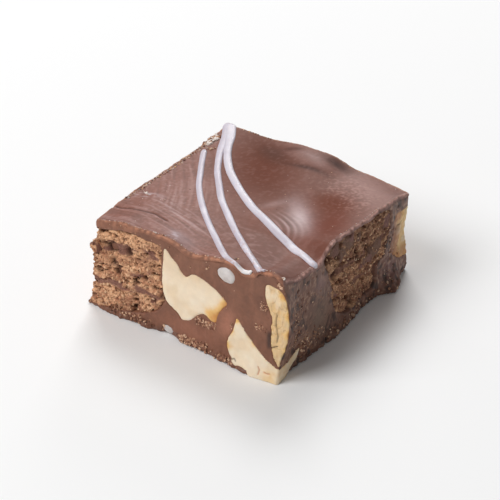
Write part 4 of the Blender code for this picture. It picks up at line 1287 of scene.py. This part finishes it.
# Crumbs on the topping: the ends of the line that they lie along, its half width, how many, smallest
# and largest, and how pale they are.
TOP_CRUMBS = (
    ((-25.3, 16.6), (-24.9, 21.6), 0.7, 52, 0.22, 0.60, 2.5),
    ((-25.0, 17.6), (-24.4, 21.0), 0.5, 26, 0.40, 0.80, 4.0),
    ((-23.6, 15.6), (-22.0, 16.6), 0.4, 12, 0.20, 0.45, 0.5),
    ((-24.6, -14.0), (-25.1, 16.0), 0.60, 260, 0.12, 0.32, 0.5),
    ((-22.6, -9.4), (-20.6, -10.4), 0.30, 9, 0.16, 0.34, 3.0),
    ((-24.0, -23.6), (-6.0, -24.6), 0.15, 60, 0.08, 0.20, 0.8),
    ((-6.0, -24.4), (24.0, -26.0), 0.15, 60, 0.08, 0.20, 0.7),
    ((26.0, -25.9), (26.6, -24.9), 0.12, 14, 0.20, 0.48, 2.0),
    ((-22.0, 27.4), (-12.0, 27.3), 0.20, 30, 0.10, 0.26, 0.4),
    ((26.0, -20.0), (25.0, 24.0), 0.15, 60, 0.06, 0.14, 0.9),
    ((-20.0, 27.6), (22.0, 27.2), 0.25, 60, 0.06, 0.15, 0.2),
    ((12.0, -23.1), (12.6, -22.8), 0.20, 6, 0.28, 0.50, 0.5),
    ((-22.0, -20.0), (22.0, 22.0), 14.0, 70, 0.06, 0.14, 0.9),
)


def add_top_crumbs():
    groups = []
    for start, end, half, count, small, large, pale in TOP_CRUMBS:
        share = rng.random(count)[:, None]
        x, y = (mix(np.array(start), np.array(end), share) + half * rng.uniform(-1, 1, (count, 2))).T
        point = top_point(*(np.clip(plan, EDGE, 1 - EDGE) for plan in share_of(x, y)))
        tone = rng.random(count)
        colour = paint(
            (146, 100, 80),
            ((214, 170, 132), step(0.5, 1.0, tone)),
            ((96, 62, 52), step(0.4, 0.1, tone)),
            ((232, 220, 212), pale * step(0.3, 0.9, rng.random(count))),
        )
        upright = np.tile([0.0, 0.0, 1.0], (count, 1))
        groups.append((point, rng.uniform(small, large, count), upright, colour))
    lay_crumbs("crumbs_on_top", groups, "topping")


# --- Build ---

add_block()
add_topping()
for line_name, (line_radius, line_points) in LINES.items():
    add_line(line_name, line_radius, line_points)
for nut_name, nut_outlines in NUTS.items():
    add_nut(nut_name, nut_outlines)
for marshmallow_name in MARSHMALLOWS:
    add_marshmallow(marshmallow_name)
# How many sheets and creams the part has in each wafer.
WAFER_PARTS = {"left": (4, 3), "right": (3, 2), "back": (3, 2)}
for wafer_name, (sheets, creams) in WAFER_PARTS.items():
    wafer_nodes = [f"wafer_{wafer_name}_{i + 1}" for i in range(sheets)]
    wafer_nodes += [f"cream_{wafer_name}_{i + 1}" for i in range(creams)]
    add_wafer(wafer_name, WAFERS[wafer_name], wafer_nodes)

add_crumbs()
add_top_crumbs()

# --- Stage ---


def add_floor():
    mesh = bpy.data.meshes.new("floor")
    mesh.from_pydata([(-4, -4, 0), (4, -4, 0), (4, 4, 0), (-4, 4, 0)], [], [(0, 1, 2, 3)])
    pale = bpy.data.materials.new("floor")
    pale.use_nodes = True
    shader = pale.node_tree.nodes["Principled BSDF"]
    shader.inputs["Base Color"].default_value = (0.92, 0.92, 0.92, 1)
    shader.inputs["Roughness"].default_value = 0.9
    shader.inputs["Specular IOR Level"].default_value = 0.1
    mesh.materials.append(pale)
    floor = bpy.data.objects.new("floor", mesh)
    floor.location = (0, 0, -0.00003)
    bpy.context.scene.collection.objects.link(floor)


def aimed(data, azimuth, elevation, distance, target=(0, 0, 0)):
    """A light or a camera that faces its target from an azimuth and elevation in degrees."""
    a, e = math.radians(azimuth), math.radians(elevation)
    back = Vector((math.sin(a) * math.cos(e), -math.cos(a) * math.cos(e), math.sin(e)))
    obj = bpy.data.objects.new(data.name, data)
    obj.location = Vector(target) + back * distance
    obj.rotation_mode = "QUATERNION"
    obj.rotation_quaternion = back.to_track_quat("Z", "Y")
    bpy.context.scene.collection.objects.link(obj)
    return obj


def add_light(name, azimuth, elevation, distance, size, power):
    light = bpy.data.lights.new(name, "AREA")
    light.shape = "SQUARE"
    light.size, light.energy = size, power
    aimed(light, azimuth, elevation, distance)


def add_camera():
    camera = bpy.data.cameras.new("camera")
    camera.lens, camera.sensor_width = 135.0, 36.0
    camera.clip_start, camera.clip_end = 0.02, 20.0
    bpy.context.scene.camera = aimed(camera, 35.0, 32.0, 0.420, target=(0.000315, -0.001076, 0.011))


def add_world():
    world = bpy.data.worlds.new("studio")
    world.use_nodes = True
    background = world.node_tree.nodes["Background"]
    background.inputs["Color"].default_value = (1, 1, 1, 1)
    background.inputs["Strength"].default_value = 0.2
    bpy.context.scene.world = world
    bpy.context.scene.view_settings.view_transform = "Standard"


add_floor()
add_world()
add_camera()
add_light("key", -30, 45, 1.6, 0.9, 17)
add_light("behind", -145, 48, 1.5, 0.65, 11)
add_light("glint", -154, 21, 1.5, 0.40, 3.0)
